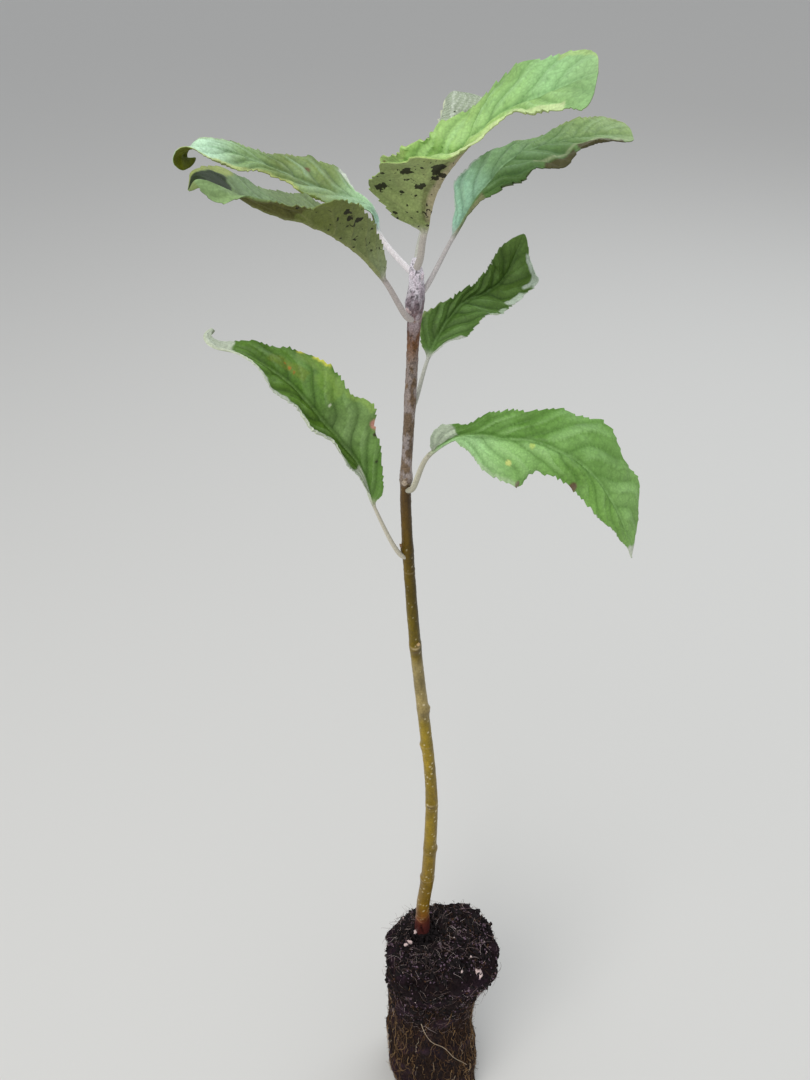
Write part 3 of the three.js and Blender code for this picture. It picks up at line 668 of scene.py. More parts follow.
def new_material(name, roughness, colour=None, bump=(), specular=0.5, mottle=None, sheen=0,
                 net=None, speck=None):
    """A material with a plain colour, or the piece's own tint where no colour is given.

    bump is (kind, size in mm, strength, height in mm) rows. mottle is (size in mm, share). net is
    (size in mm, share) of darker lines between small cells. speck is (size in mm, colour) of
    specks, which the tint's fourth value makes more or less thick.
    """
    material = bpy.data.materials.new(name)
    material.use_nodes = True
    nodes, links = material.node_tree.nodes, material.node_tree.links
    shader = nodes["Principled BSDF"]
    shader.inputs["Roughness"].default_value = roughness
    shader.inputs["Specular IOR Level"].default_value = specular
    shader.inputs["Sheen Weight"].default_value = sheen
    place = nodes.new("ShaderNodeTexCoord").outputs["Object"]

    def texture(kind, size, detail):
        node = nodes.new("ShaderNodeTexVoronoi" if kind == "cells" else "ShaderNodeTexNoise")
        if kind == "cells":
            node.feature = "DISTANCE_TO_EDGE"
        else:
            node.inputs["Detail"].default_value = detail
        node.inputs["Scale"].default_value = 1 / (size * MM)
        links.new(place, node.inputs["Vector"])
        return node.outputs["Distance" if kind == "cells" else "Fac"]

    def spread(value, low, high, to_low, to_high):
        node = nodes.new("ShaderNodeMapRange")
        for key, number in (("From Min", low), ("From Max", high), ("To Min", to_low),
                            ("To Max", to_high)):
            node.inputs[key].default_value = number
        links.new(value, node.inputs["Value"])
        return node.outputs[0]

    def scaled(value, by):
        node = nodes.new("ShaderNodeVectorMath")
        node.operation = "SCALE"
        links.new(value, node.inputs[0])
        links.new(by, node.inputs["Scale"])
        return node.outputs[0]

    if colour is None:
        source = nodes.new("ShaderNodeAttribute")
        source.attribute_name = "tint"
        output = source.outputs["Color"]
    else:
        source = nodes.new("ShaderNodeRGB")
        source.outputs[0].default_value = (*linear(colour), 1)
        output = source.outputs[0]
    if mottle:
        output = scaled(output, spread(texture("noise", mottle[0], 5), *NOISE_SPAN,
                                       1 - mottle[1], 1 + mottle[1]))
    if net:
        output = scaled(output, spread(texture("cells", net[0], 0), *NET_SPAN, 1 - net[1], 1))
    if speck:
        thick = spread(source.outputs["Alpha"], 0, 2, *SPECK_SPAN)
        above = nodes.new("ShaderNodeMath")
        links.new(texture("noise", speck[0], 2.5), above.inputs[0])
        links.new(thick, above.inputs[1])
        mix = nodes.new("ShaderNodeMix")
        mix.data_type = "RGBA"
        links.new(spread(above.outputs[0], 0, SPECK_EDGE, 0, SPECK_SHARE), mix.inputs["Factor"])
        links.new(output, mix.inputs["A"])
        mix.inputs["B"].default_value = (*linear(speck[1]), 1)
        output = mix.outputs["Result"]
    links.new(output, shader.inputs["Base Color"])
    normal = None
    for kind, size, strength, height in bump:
        relief = nodes.new("ShaderNodeBump")
        relief.inputs["Strength"].default_value = strength
        relief.inputs["Distance"].default_value = height * MM
        links.new(texture(kind, size, 6), relief.inputs["Height"])
        if normal is not None:
            links.new(normal, relief.inputs["Normal"])
        normal = relief.outputs["Normal"]
    if normal is not None:
        links.new(normal, shader.inputs["Normal"])
    return material


# Root ball
def ball_lump(angle, z):
    return sum(share * np.sin(k * angle + z / length) for share, k, length in BALL_WAVES)


def ball_point(angle, z):
    """Points on the ball's side at those angles and heights."""
    half, deep, right, square = (np.interp(z, BALL_LEVELS[:, 0], BALL_LEVELS[:, i])
                                 for i in range(1, 5))
    outline = (np.abs(np.cos(angle)) ** square + np.abs(np.sin(angle)) ** square) ** (-1 / square)
    lump = BALL_LUMP * ball_lump(angle, z)
    return np.stack([right + (half * outline + lump) * np.cos(angle),
                     (deep * outline + lump) * np.sin(angle), z + 0 * angle], -1)


def side_place(angle, z):
    return ball_point(np.array([angle]), np.array([z]))[0]


def ball_top_point(angle, share):
    """Points on the ball's top, from its rim (share 0) to the seat of the stem (share 1)."""
    rim = ball_point(angle, np.full_like(angle, BALL_LEVELS[-1, 0]))
    seat = np.stack([STEM_FOOT[0] + SEAT_RADIUS * np.cos(angle),
                     STEM_FOOT[1] + SEAT_RADIUS * np.sin(angle),
                     np.full_like(angle, SEAT_HEIGHT)], -1)
    place = rim + (seat - rim) * share[..., None]
    place[..., 2] += np.interp(share, TOP_SWELL[:, 0], TOP_SWELL[:, 1])
    return place


def top_place(angle, share):
    return ball_top_point(np.array([angle]), np.array([share]))[0]


def make_ball():
    angle = np.linspace(0, FULL_TURN, BALL_COLUMNS, endpoint=False)
    top = BALL_LEVELS[-1, 0]
    rows = [ball_point(angle, np.full_like(angle, z)) for z in np.linspace(0, top, BALL_SIDE_ROWS)]
    rows += [ball_top_point(angle, np.full_like(angle, s))
             for s in np.linspace(0, 1, BALL_TOP_ROWS + 1)[1:]]
    points = np.stack(rows)
    across = np.roll(points, -1, 1) - np.roll(points, 1, 1)
    up = np.gradient(points, axis=0)
    normal = np.cross(across, up)
    normal /= np.linalg.norm(normal, axis=2, keepdims=True)
    flat = points.reshape(-1, 3)
    z = flat[:, 2]
    cap = ramp(z, CAP_START, CAP_BLEND)
    crumbs = rough(flat, CRUMB_SIZE, 4, 11)
    streaks = rough(flat * (1, 1, STREAK_SQUASH), STREAK_SIZE, 3, 23)
    relief = cap * CAP_RELIEF * crumbs
    relief += (1 - cap) * (SIDE_RELIEF * crumbs + STREAK_RELIEF * streaks)
    # Calm on the flat underside and round the stem
    relief *= np.clip(z / UNDERSIDE_CALM, 0, 1)
    near = np.linalg.norm(flat[:, :2] - STEM_FOOT[:2], axis=1)
    calm = np.clip((near - SEAT_CALM_START) / SEAT_CALM_BLEND, 0.25, 1)
    relief *= np.where(z > SEAT_CALM_FROM, calm, 1)
    flat = flat + normal.reshape(-1, 3) * relief[:, None]
    dark, brown, violet = map(linear, (COMPOST_DARK, COMPOST_BROWN, COMPOST_VIOLET))
    fibre = np.clip(0.4 + streaks * 0.9, 0, 1)[:, None]
    tone = cap[:, None]
    tint = dark * (0.7 + 0.5 * fibre) * tone + (dark * (1 - fibre) + brown * fibre) * (1 - tone)
    patches = np.clip(1.4 * rough(flat, 12, 2, 41), 0, 1)[:, None] * 0.5
    tint = tint * (1 - patches) + violet * (0.5 + 0.5 * fibre) * patches
    faces = [*ring_faces(len(rows), BALL_COLUMNS)]
    for first, turned in ((0, True), ((len(rows) - 1) * BALL_COLUMNS, False)):
        ring = np.arange(first, first + BALL_COLUMNS)
        centre = flat[ring].mean(0)
        flat = np.vstack([flat, centre])
        tint = np.vstack([tint, tint[first]])
        following = np.roll(ring, -1)
        pairs = (following, ring) if turned else (ring, following)
        faces += [(a, b, len(flat) - 1) for a, b in zip(*pairs)]
    piece = make_piece("root_ball_compost", flat, faces, [compost], tint)
    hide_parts("root_ball")


def scatter_lumps(name, count, size, material, place, seed, coarse=False):
    """Many small lumps joined in one mesh, each on a point that place(rng) gives."""
    rng = np.random.default_rng(seed)
    golden = (1 + 5 ** 0.5) / 2
    corners = np.array([(-1, golden, 0), (1, golden, 0), (-1, -golden, 0), (1, -golden, 0),
                        (0, -1, golden), (0, 1, golden), (0, -1, -golden), (0, 1, -golden),
                        (golden, 0, -1), (golden, 0, 1), (-golden, 0, -1), (-golden, 0, 1)])
    corners /= np.linalg.norm(corners[0])
    sides = np.array([(0, 11, 5), (0, 5, 1), (0, 1, 7), (0, 7, 10), (0, 10, 11), (1, 5, 9),
                      (5, 11, 4), (11, 10, 2), (10, 7, 6), (7, 1, 8), (3, 9, 4), (3, 4, 2),
                      (3, 2, 6), (3, 6, 8), (3, 8, 9), (4, 9, 5), (2, 4, 11), (6, 2, 10),
                      (8, 6, 7), (9, 8, 1)])
    middles = {}
    points = corners.tolist()
    fine = []
    for face in sides:
        mids = []
        for a, b in ((0, 1), (1, 2), (2, 0)):
            key = tuple(sorted((face[a], face[b])))
            if key not in middles:
                middle = (np.array(points[key[0]]) + points[key[1]]) / 2
                points.append((middle / np.linalg.norm(middle)).tolist())
                middles[key] = len(points) - 1
            mids.append(middles[key])
        a, b, c = face
        fine += [(a, mids[0], mids[2]), (b, mids[1], mids[0]), (c, mids[2], mids[1]), tuple(mids)]
    ball, fine = (corners, sides) if coarse else (np.array(points), np.array(fine))
    every, faces = [], []
    for i in range(count):
        centre = place(rng)
        radius = rng.uniform(*size) / 2
        form = ball * (1 + LUMP_UNEVENNESS * rng.standard_normal((len(ball), 1)))
        form = form * rng.uniform(*LUMP_SIDES)
        turn = np.linalg.qr(rng.standard_normal((3, 3)))[0]
        if np.linalg.det(turn) < 0:
            turn[:, 0] *= -1
        every.append(form @ turn.T * radius + centre)
        faces.append(fine + i * len(ball))
    make_piece(name, np.vstack(every), np.vstack(faces), [material],
               sharp=40 if coarse else None)


def thread(path, radius, sides=3, taper=0.5):
    """Points and faces of a thin tube along a path."""
    path = np.asarray(path)
    way = np.gradient(path, axis=0)
    way /= np.linalg.norm(way, axis=1, keepdims=True) + 1e-9
    side = np.cross(way, ACROSS_THREADS)
    side /= np.linalg.norm(side, axis=1, keepdims=True) + 1e-9
    other = np.cross(way, side)
    turn = np.linspace(0, FULL_TURN, sides, endpoint=False)
    thick = radius * np.linspace(1, taper, len(path))[:, None, None]
    rings = path[:, None] + thick * (np.cos(turn)[None, :, None] * side[:, None]
                                     + np.sin(turn)[None, :, None] * other[:, None])
    return rings.reshape(-1, 3), ring_faces(len(path), sides), end_faces(len(path), sides)


def join_threads(name, threads, material):
    every, faces, base = [], [], 0
    for points, quads, ends in threads:
        every.append(points)
        faces += (quads + base).tolist()
        faces += [[k + base for k in end] for end in ends]
        base += len(points)
    make_piece(name, np.vstack(every), faces, [material])


def outward(points):
    """The level way out of the ball at points on its side."""
    way = points - np.stack([np.interp(points[:, 2], BALL_LEVELS[:, 0], BALL_LEVELS[:, 3]),
                             0 * points[:, 0], points[:, 2]], -1)
    return way / np.linalg.norm(way, axis=1, keepdims=True)


def side_root(rng, low, high, reach, proud, wander=0.02):
    """A fine root that wanders down the ball's side."""
    start = rng.uniform(low, high)
    length = rng.uniform(*reach)
    steps = max(8, int(length / ROOT_STEP))
    drop = np.clip(rng.normal(1, 0.55, steps), -0.3, 2.4)
    z = np.clip(start - np.cumsum(drop) / steps * length, *ROOT_HEIGHTS)
    drift = rng.normal(0, 0.006) * np.arange(steps)
    angle = rng.uniform(0, FULL_TURN)
    if rng.random() < 0.5:
        # Thickest along the plug's corners
        angle = np.pi / 4 + np.pi / 2 * rng.integers(4) + rng.normal(0, CORNER_SPREAD)
    angle = angle + np.cumsum(rng.normal(0, wander, steps)) + drift
    points = ball_point(angle, z)
    lift = rng.uniform(*proud) * np.sin(np.linspace(0.2, np.pi - 0.1, steps)) + 0.25
    lift += 0.3 * np.sin(np.linspace(0, rng.uniform(6, 22), steps) + rng.uniform(0, 6))
    return points + outward(points) * lift[:, None]


def stray_hair(rng):
    """A short hair or shred that stands out of the ball's side."""
    angle, z = rng.uniform(0, FULL_TURN), rng.uniform(3, 168)
    start = ball_point(np.array([angle]), np.array([z]))
    normal = outward(start)[0]
    way = normal * 0.8 + rng.normal(0, 0.7, 3) - (0, 0, 0.25)
    return curl(rng, start[0] - normal * 0.2, way, rng.uniform(1.2, 4.2), 5, 0.35)


def curl(rng, start, way, length, steps, turning):
    """Points of a hair that curls as it goes."""
    way = way / np.linalg.norm(way)
    bend = np.cross(way, rng.normal(0, 1, 3)) * turning
    path = [start]
    for _ in range(steps):
        way = way + bend / 2 + rng.normal(0, turning / 2, 3)
        way /= np.linalg.norm(way)
        path.append(path[-1] + way * length / steps)
    return np.array(path)


def top_fibre(rng):
    """A short fibre that curls on the ball's top or upper sides."""
    angle = rng.uniform(0, FULL_TURN)
    if rng.random() < 0.5:
        start = top_place(angle, rng.uniform(0, 0.93))
        normal = np.array([0, 0, 1.0])
    else:
        start = side_place(angle, rng.uniform(112, 169))
        normal = np.array([np.cos(angle), np.sin(angle), 0.15])
        normal /= np.linalg.norm(normal)
    way = rng.normal(0, 1, 3)
    path = curl(rng, start, way - normal * (way @ normal), rng.uniform(2.5, 10), 8, 0.3)
    # Kept close to the surface
    path -= np.outer((path - start) @ normal, normal) * 0.85
    lift = 0.7 + rng.uniform(0, 0.9) * np.sin(np.linspace(0, np.pi, len(path)))
    return path + normal * lift[:, None]


def root_through(points, proud=1.1):
    """A root on the ball's side through points given as angle in degrees and height."""
    course = Course([(np.radians(a) * UNROLLED_RADIUS, z, 0) for a, z in points], 60)
    unrolled = course.at(np.linspace(0, 1, 40))
    place = ball_point(unrolled[:, 0] / UNROLLED_RADIUS, unrolled[:, 1])
    return place + outward(place) * proud


def on_top(rng):
    place = top_place(rng.uniform(0, FULL_TURN), rng.uniform(0, 0.88) ** 1.2)
    return place + (0, 0, rng.uniform(-0.2, 0.7))


def on_cap_side(rng):
    angle = rng.uniform(0, FULL_TURN)
    place = side_place(angle, rng.uniform(132, 170))
    return place + np.array([np.cos(angle), np.sin(angle), 0]) * rng.uniform(-0.2, 0.6)


def on_cap(rng):
    return on_top(rng) if rng.random() < 0.62 else on_cap_side(rng)


def on_side(rng):
    return side_place(rng.uniform(0, FULL_TURN), rng.uniform(6, 140))


def mostly_on_side(rng):
    return on_cap(rng) if rng.random() < 0.3 else on_side(rng)


def round_the_foot(rng):
    """A place in the compost heaped round the stem's foot, higher on the front."""
    angle = rng.uniform(0, FULL_TURN)
    reach = HEAP_START + 6 * rng.random() ** 1.3
    heap = HEAP_LEAST + HEAP_MORE * (1 - np.sin(angle)) * bell(reach - HEAP_START, HEAP_WIDTH)
    return np.array([STEM_FOOT[0] + reach * np.cos(angle), STEM_FOOT[1] + reach * np.sin(angle),
                     SEAT_HEIGHT + heap * rng.random() ** 0.6])


# Stem
def stem_radius(z, angle):
    radius = np.interp(z, STEM_RADII[:, 0], STEM_RADII[:, 1])
    for height, side, out in STEM_NODES:
        facing = np.maximum(0, np.cos(angle - np.radians(side))) ** 2
        near = bell(z - height, NODE_SPREAD)
        radius = radius + out * near * (NODE_ROUND_SHARE + (1 - NODE_ROUND_SHARE) * facing)
    return radius


def make_stem():
    z, angle = np.meshgrid(np.linspace(0, STEM_RADII[-1, 0], STEM_ROWS),
                           np.linspace(0, FULL_TURN, STEM_COLUMNS, endpoint=False), indexing="ij")
    z, angle = z.ravel(), angle.ravel()
    radius = stem_radius(z, angle)
    ways = np.stack([np.cos(angle), np.sin(angle), 0 * z], -1)
    centre = stem_axis(z)
    skin = centre + ways * radius[:, None]
    young = ramp(z, YOUNG_FROM, YOUNG_OVER)
    relief = GRAIN_HEIGHT * rough(skin * (1, 1, 0.3), 1.5, 3, 5)
    relief += BAND_HEIGHT * rough(skin * (1, 1, 2), 1.2, 2, 8)
    relief += YOUNG_HEIGHT * young * rough(skin, 1.1, 3, 15)
    collar = np.clip(1 - z / COLLAR_TOP, 0, 1)
    relief += COLLAR_HEIGHT * collar * rough(skin, 2.4, 3, 19)
    heights, colours = zip(*STEM_COLOURS)
    tint = table_at(z, heights, linear(colours))
    blotch = rough(skin * (1, 1, 0.5), 5, 3, 31)[:, None]
    tint *= 1 + 0.28 * blotch + 0.18 * rough(skin * (1, 1, 0.25), 0.9, 2, 37)[:, None]
    # Painted light and shade: the left of the stem lighter, its right darker
    heights, shares = np.transpose(SUNNY_SIDE)
    tint *= (1 - np.interp(z, heights, shares) * np.cos(angle))[:, None]
    # Fine scars that run round the stem
    for height, strength in STEM_LINES:
        near = bell(z - height - 0.5 * np.sin(angle), LINE_WIDTH)
        relief += LINE_HEIGHT * near
        paint(tint, LINE_COLOUR, strength * near)
    ring = bell(z - RING_HEIGHT + 0.7 * np.sin(3 * angle), 0.5)
    ring *= 0.55 + 0.45 * np.sin(angle * 2 + 1)
    relief += RING_RELIEF * ring
    paint(tint, RING_COLOUR, 0.75 * ring)
    # The upright crack in the collar
    above = z - CRACK_HEIGHT
    middle = np.radians(CRACK_SIDE) - CRACK_LEAN * above
    branch = np.radians(CRACK_BRANCH_SIDE) + CRACK_LEAN * above
    crack = np.maximum(bell(angle - middle, 0.1), (above > 1) * bell(angle - branch, 0.08))
    crack *= bell(above, CRACK_REACH, 4)
    relief -= CRACK_DEPTH * crack
    tint *= 1 - 0.85 * crack[:, None]
    # Leaf scars under the swellings of the bare lower stem
    for height, side, _ in STEM_NODES[:BARE_NODES]:
        turn = turn_from(angle, np.radians(side))
        near = np.exp(-((turn / 0.55) ** 2) - (((z - height + 0.8) / 0.8) ** 2))
        paint(tint, SCAR_COLOUR, 0.75 * near)
        lip = np.exp(-((turn / 0.6) ** 2) - (((z - height - 0.9) / 0.45) ** 2))
        relief += SCAR_LIP_HEIGHT * lip
        paint(tint, SCAR_LIP_COLOUR, 0.7 * lip)
    # Lenticels: small pale raised dots, fewer towards the top
    rng = np.random.default_rng(77)
    for _ in range(LENTICELS):
        height = LENTICEL_START + LENTICEL_REACH * rng.random() ** 1.15
        side = rng.uniform(0, FULL_TURN)
        size = rng.uniform(*LENTICEL_RADII) * np.interp(height, LENTICEL_SPAN, (1, 0.62))
        rows = np.abs(z - height) < 1.6
        turn = turn_from(angle[rows], side)
        gap = ((turn * radius[rows] / size) ** 2) + (((z[rows] - height) / (1.3 * size)) ** 2)
        dot = np.exp(-(gap ** 1.5))
        relief[rows] += LENTICEL_HEIGHT * dot
        strong = np.interp(height, LENTICEL_SPAN, (0.9, 0.6))
        tint[rows] += (linear(LENTICEL_COLOUR) - tint[rows]) * (strong * dot)[:, None]
    # Down, thick at the tip and in thin flecks below it, and dark specks
    patchy = rough(skin * (1, 1, 0.5), 1.3, 3, 61)
    down = np.interp(z, *DOWN.T) * np.clip(0.45 + 2.4 * patchy, 0, 1)
    paint(tint, DOWN_COLOUR, down)
    specks = np.clip((rough(skin, 0.8, 2, 71) - 0.5) * 9, 0, 1)
    specks *= np.interp(z, *DOWN_SPECKS.T)
    tint *= 1 - 0.8 * specks[:, None]
    skin = centre + ways * (radius + relief)[:, None] + STEM_FOOT
    faces = [*ring_faces(STEM_ROWS, STEM_COLUMNS), *end_faces(STEM_ROWS, STEM_COLUMNS)]
    upper = np.array([z[face[0]] >= SMOOTH_BARK_TOP for face in faces], int)
    piece = make_piece("stem_bark", skin, faces, [bark, young_bark], np.clip(tint, 0, 1),
                       upper)
    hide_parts("stem")


def make_bud(name, height, side, size, lean, colour, seed):
    """A pointed bud against the stem, covered in overlapping scales."""
    around = np.linspace(0, FULL_TURN, BUD_COLUMNS, endpoint=False)
    share, turn = np.meshgrid(np.linspace(0, 1, BUD_ROWS), around, indexing="ij")
    share, turn = share.ravel(), turn.ravel()
    wide = np.sin(np.pi * share ** 0.7) ** 0.8 * (1 - 0.35 * share)
    scales = 1 + 0.12 * np.abs(np.sin(share * 9 + turn))
    local = np.stack([size[0] / 2 * wide * scales * np.cos(turn),
                      size[0] / 2 * wide * scales * np.sin(turn), size[1] * share], -1)
    local += 0.08 * rough(local, 0.8, 2, seed)[:, None]
    c, s = np.cos(lean), np.sin(lean)
    local = local @ np.array([[c, 0, s], [0, 1, 0], [-s, 0, c]]).T
    c, s = np.cos(np.radians(side)), np.sin(np.radians(side))
    local = local @ np.array([[c, -s, 0], [s, c, 0], [0, 0, 1]]).T
    out = stem_radius(height, np.radians(side)) - BUD_SUNK
    foot = stem_axis(height) + np.array([c, s, 0]) * out
    tint = linear(colour) * (0.85 + 0.3 * share[:, None] + 0.2 * rough(local, 1, 2, seed)[:, None])
    faces = [*ring_faces(BUD_ROWS, BUD_COLUMNS), end_faces(BUD_ROWS, BUD_COLUMNS)[0]]
    make_piece(name, local + foot + STEM_FOOT, faces, [young_bark], np.clip(tint, 0, 1))


# Leaves
def blade_width(leaf, half, t):
    start = half.get("start", 0)
    s = np.clip((t - start) / (1 - start), 0, 1)
    rise, fall = leaf["rise"], leaf["fall"]
    peak = rise / (rise + fall)
    outline = s ** rise * (1 - s) ** fall / (peak ** rise * (1 - peak) ** fall)
    return np.maximum(half["width"] * outline, NARROWEST) * along(half.get("widen", [1]), t)


def vein_place(t, u, veins, sweep, seed):
    """Place between side veins: 0 on one, 1 midway to the next and -1 midway to the last."""
    wander = 0.1 * np.sin(9 * t + seed) + 0.07 * np.sin(23 * t + 5 * u + seed)
    count = (t - sweep * u ** 1.15 * (1 - 0.4 * t)) * veins + wander + 0.37 * (seed % 3)
    return 2 * (count - np.round(count))


def share_inside(value, low, high, soft):
    """1 between the two limits and 0 outside them, over a soft border."""
    return np.clip((np.minimum(value - low, high - value)) / soft + 0.5, 0, 1)


def half_blade(leaf, look, name, side, t, petiole_radius, blade_length, seed):
    """Top and underside of one half: offsets to the right and upward, and their colours."""
    half = leaf[name]
    u = 1 - (1 - np.linspace(0, 1, HALF_COLUMNS + 1)) ** 1.15
    T, U = np.meshgrid(t, u, indexing="ij")
    width = blade_width(leaf, half, t)[:, None]
    fold = np.radians(along(half["fold"], t))[:, None]
    curl = np.radians(along(half.get("curl", [0]), t))[:, None]
    curl = np.where(np.abs(curl) < LEAST_CURL, LEAST_CURL, curl)
    rng = np.random.default_rng(seed)
    ends = np.sqrt(np.sin(np.pi * T))
    wide = np.clip(width / FULL_RELIEF_WIDTH, 0, 1)
    # Teeth lean towards the tip and differ in depth, on a margin with uneven lobes
    teeth = t * blade_length / TOOTH_LENGTH * (1 + 0.06 * np.sin(7 * t + seed))
    teeth = teeth + 0.3 * np.sin(teeth * 1.7 + seed)
    sizes = rng.uniform(*TOOTH_SIZES, 200)
    size = sizes[np.floor(teeth).astype(int) + 3] * look.get("tooth", 1)
    saw = ((teeth % 1) ** 1.3 - 0.45) * size * TOOTH_DEPTH
    lobes = np.interp(t * blade_length, LOBE_LENGTH * np.arange(25), rng.uniform(-1, 1, 25))
    saw = (saw + LOBE_DEPTH * look.get("ragged", 0.6) * lobes) * ends[:, 0]
    toothed = np.clip(width / FULL_TEETH_WIDTH, 0, 1)
    reach = np.maximum(width + saw[:, None] * U ** 6 * toothed, LEAST_REACH)
    slope = fold + curl * U
    out = reach * (np.sin(slope) - np.sin(fold)) / curl
    up = reach * (np.cos(fold) - np.cos(slope)) / curl
    height, waves, phase = leaf.get("wave", USUAL_WAVE)
    swing = np.sin(FULL_TURN * (waves * T + phase)) * ends
    spread = np.stack([T * blade_length, U * reach * side, 0 * T + seed * 9], -1).reshape(-1, 3)
    margin = np.stack([T * blade_length, U * 2, 0 * T + seed * 7], -1).reshape(-1, 3)
    ruffle = rough(margin, RUFFLE_SIZE, 2, seed + 50).reshape(T.shape)
    ruffle = look.get("ruffle", 0.45) * ruffle * ends
    place = vein_place(T, U, look.get("veins", VEINS), look.get("sweep", SWEEP), seed)
    vein = np.abs(place)
    body = wide * ends
    edge = np.sin(np.pi * np.clip(U, 0, 1) ** 0.8) ** 0.6
    panel = np.sin(np.pi / 2 * np.clip(vein, 0, 1)) ** 0.75
    quilt = QUILT * (panel - 0.5 + 0.25 * place) * edge * body
    crease = -CREASE_DEPTH * bell(U * width, CREASE_WIDTH) * body
    dents = DENT_DEPTH * rough(spread, DENT_SIZE, 3, seed + 100).reshape(T.shape) * body
    small = np.abs(rough(spread, FINE_VEIN_SPACE, 2, seed + 150)) * 5
    small = 1 - np.clip(small, 0, 1).reshape(T.shape)
    normal_out, normal_up = -np.sin(slope), np.cos(slope)
    raised = height * U ** 2 * swing + ruffle * U ** 3 * wide + quilt + crease + dents
    raised = raised - FINE_VEIN_DEPTH * small * body * (1 - U ** 4)
    top = np.stack([side * (out + raised * normal_out), up + raised * normal_up], -1)
    thickness = LEAF_THICKNESS * (1 - MARGIN_THINNING * U)
    thickness = thickness + look.get("tip_roll", 0) * ramp(T, ROLLED_FROM, ROLLED_OVER)
    rib = leaf["radius"][1] * (1 - RIDGE_TAPER * T)
    inside = np.clip(1 - (U * width / rib) ** 2, 0, 1)
    thickness = np.maximum(thickness, RIDGE_HEIGHT * rib * np.sqrt(inside) + raised)
    thickness = thickness + VEIN_RIDGE_HEIGHT * bell(vein, VEIN_RIDGE_WIDTH) * body * (1 - 0.6 * U)
    lean = np.where(U > 0, slope, 0)
    under = top + thickness[..., None] * np.stack([side * np.sin(lean), -np.cos(lean)], -1)
    turn = np.pi / 2 * (1 - U)
    blunt = np.where(U >= 1, PETIOLE_BLUNTNESS, 0)
    pr = petiole_radius[:, None]
    ring_out = side * pr * np.cos(turn)
    ring_up = pr * (np.sin(turn) + blunt)
    blend = ramp(T, 0, BLEND_SHARE)[..., None]
    top = np.stack([ring_out, ring_up], -1) * (1 - blend) + top * blend
    under = np.stack([ring_out, -ring_up], -1) * (1 - blend) + under * blend

    # Colours
    flat_t, flat_u = T.ravel(), U.ravel()
    tones, below = (np.broadcast_to(
        along([linear(c) for c in (row[name] if isinstance(row, dict) else row)], flat_t),
        (T.size, 3)).copy() for row in (look["top"], look["under"]))
    cloud = rough(spread, 8, 3, seed + 200)
    grain = rough(spread, 0.9, 3, seed + 300)
    body = body.ravel()
    on_panel = (panel * edge).ravel()
    tones *= (1 + 0.16 * cloud + 0.1 * grain)[:, None]
    below *= (1 + 0.18 * cloud + 0.16 * grain)[:, None]
    # Painted shade and sheen: the sunken veins and the fine veins are painted dark, partly their
    # own darker colour and partly the shade in them, and the swells between them get a painted
    # sheen of the sky, lighter on one side of each swell
    sunken = bell(vein, VEIN_WIDTH) * (1 - 0.55 * U ** 2)
    sunken = np.maximum(sunken, 0.55 * bell(vein, VEIN_SHADE_WIDTH)).ravel() * body
    sunken = np.maximum(sunken, 0.5 * small.ravel() * body * (1 - flat_u ** 3))
    paint(tones, look["groove"], GROOVE_SHARE * sunken)
    painted_sheen = np.clip(0.25 + 0.55 * place.ravel() * on_panel + 0.9 * cloud, 0, 1) * on_panel
    paint(tones, look["painted_sheen"], PAINTED_SHEEN_SHARE * painted_sheen * body)
    raised_line = (bell(vein, VEIN_WIDTH) * (1 - 0.6 * U)).ravel()
    paint(below, look["vein"], raised_line * look.get("ribs", 0.4))
    distance = (U * width).ravel()
    thin = 0.14 + 0.22 * (1 - flat_t)
    # Painted shade in the grooves beside the midrib on top
    beside = bell(distance - 2.2 * thin, 1.6 * thin) * body
    paint(tones, look["groove"], 0.45 * beside)
    # The midrib is painted lighter on top, in the painted sheen's colour, and in the vein colour
    # underneath
    midrib = bell(distance, thin) * (1 - 0.6 * flat_t)
    paint(tones, look["painted_sheen"], PAINTED_SHEEN_SHARE * midrib)
    paint(below, look["vein"], 0.8 * midrib)
    thick = np.full(T.size, 0.0) + look.get("specks", 0)

    def gap_from(place_t, place_u):
        middle_width = np.interp(place_t, t, width[:, 0])
        return np.hypot((flat_t - place_t) * blade_length, distance - place_u * middle_width)

    if look.get("dots_half") == name:
        for place_t, place_u, radius, strength in look["dots"]:
            thick = np.maximum(thick, strength * bell(gap_from(place_t, place_u), radius, 4))
    jitter = 0.8 * rough(spread, 1.8, 2, seed + 500)
    soft = PATCH_BORDER
    reach_in = np.broadcast_to(width, T.shape).ravel()
    for surface, half_name, start, end, inner, outer, colour, strength in look["patches"]:
        if half_name == name:
            share = share_inside(flat_t * blade_length + jitter, start * blade_length,
                                 end * blade_length, soft)
            share *= share_inside((distance + 0.6 * jitter) / soft, inner * reach_in / soft,
                                  outer * reach_in / soft + 9 * (outer == EDGE), 1)
            target = tones if surface == "top" else below
            shade = linear(colour) * (1 + 0.14 * grain + 0.1 * cloud)[:, None]
            target += (shade - target) * (strength * share)[:, None]
    for where, place_t, place_u, radius, colour in look.get("marks", ()):
        if where == name:
            gap = gap_from(place_t, place_u) * (1 + 0.35 * jitter)
            spot = np.clip((radius - gap) / (0.4 * radius) + 0.5, 0, 1)
            paint(tones, colour, spot * MARK_SHARE)
    stalk = 1 - ramp(flat_t, 0, 0.8 * BLEND_SHARE)
    stalk_colour = linear(look["petiole"]) * (1 + 0.3 * grain[:, None])
    tones += (stalk_colour - tones) * stalk[:, None]
    below += (stalk_colour - below) * stalk[:, None]
    thick *= 1 - 0.8 * stalk
    tones = np.concatenate([tones, np.zeros((T.size, 1))], 1).reshape(*T.shape, 4)
    below = np.concatenate([below, thick[:, None]], 1).reshape(*T.shape, 4)
    return top, under, tones, below


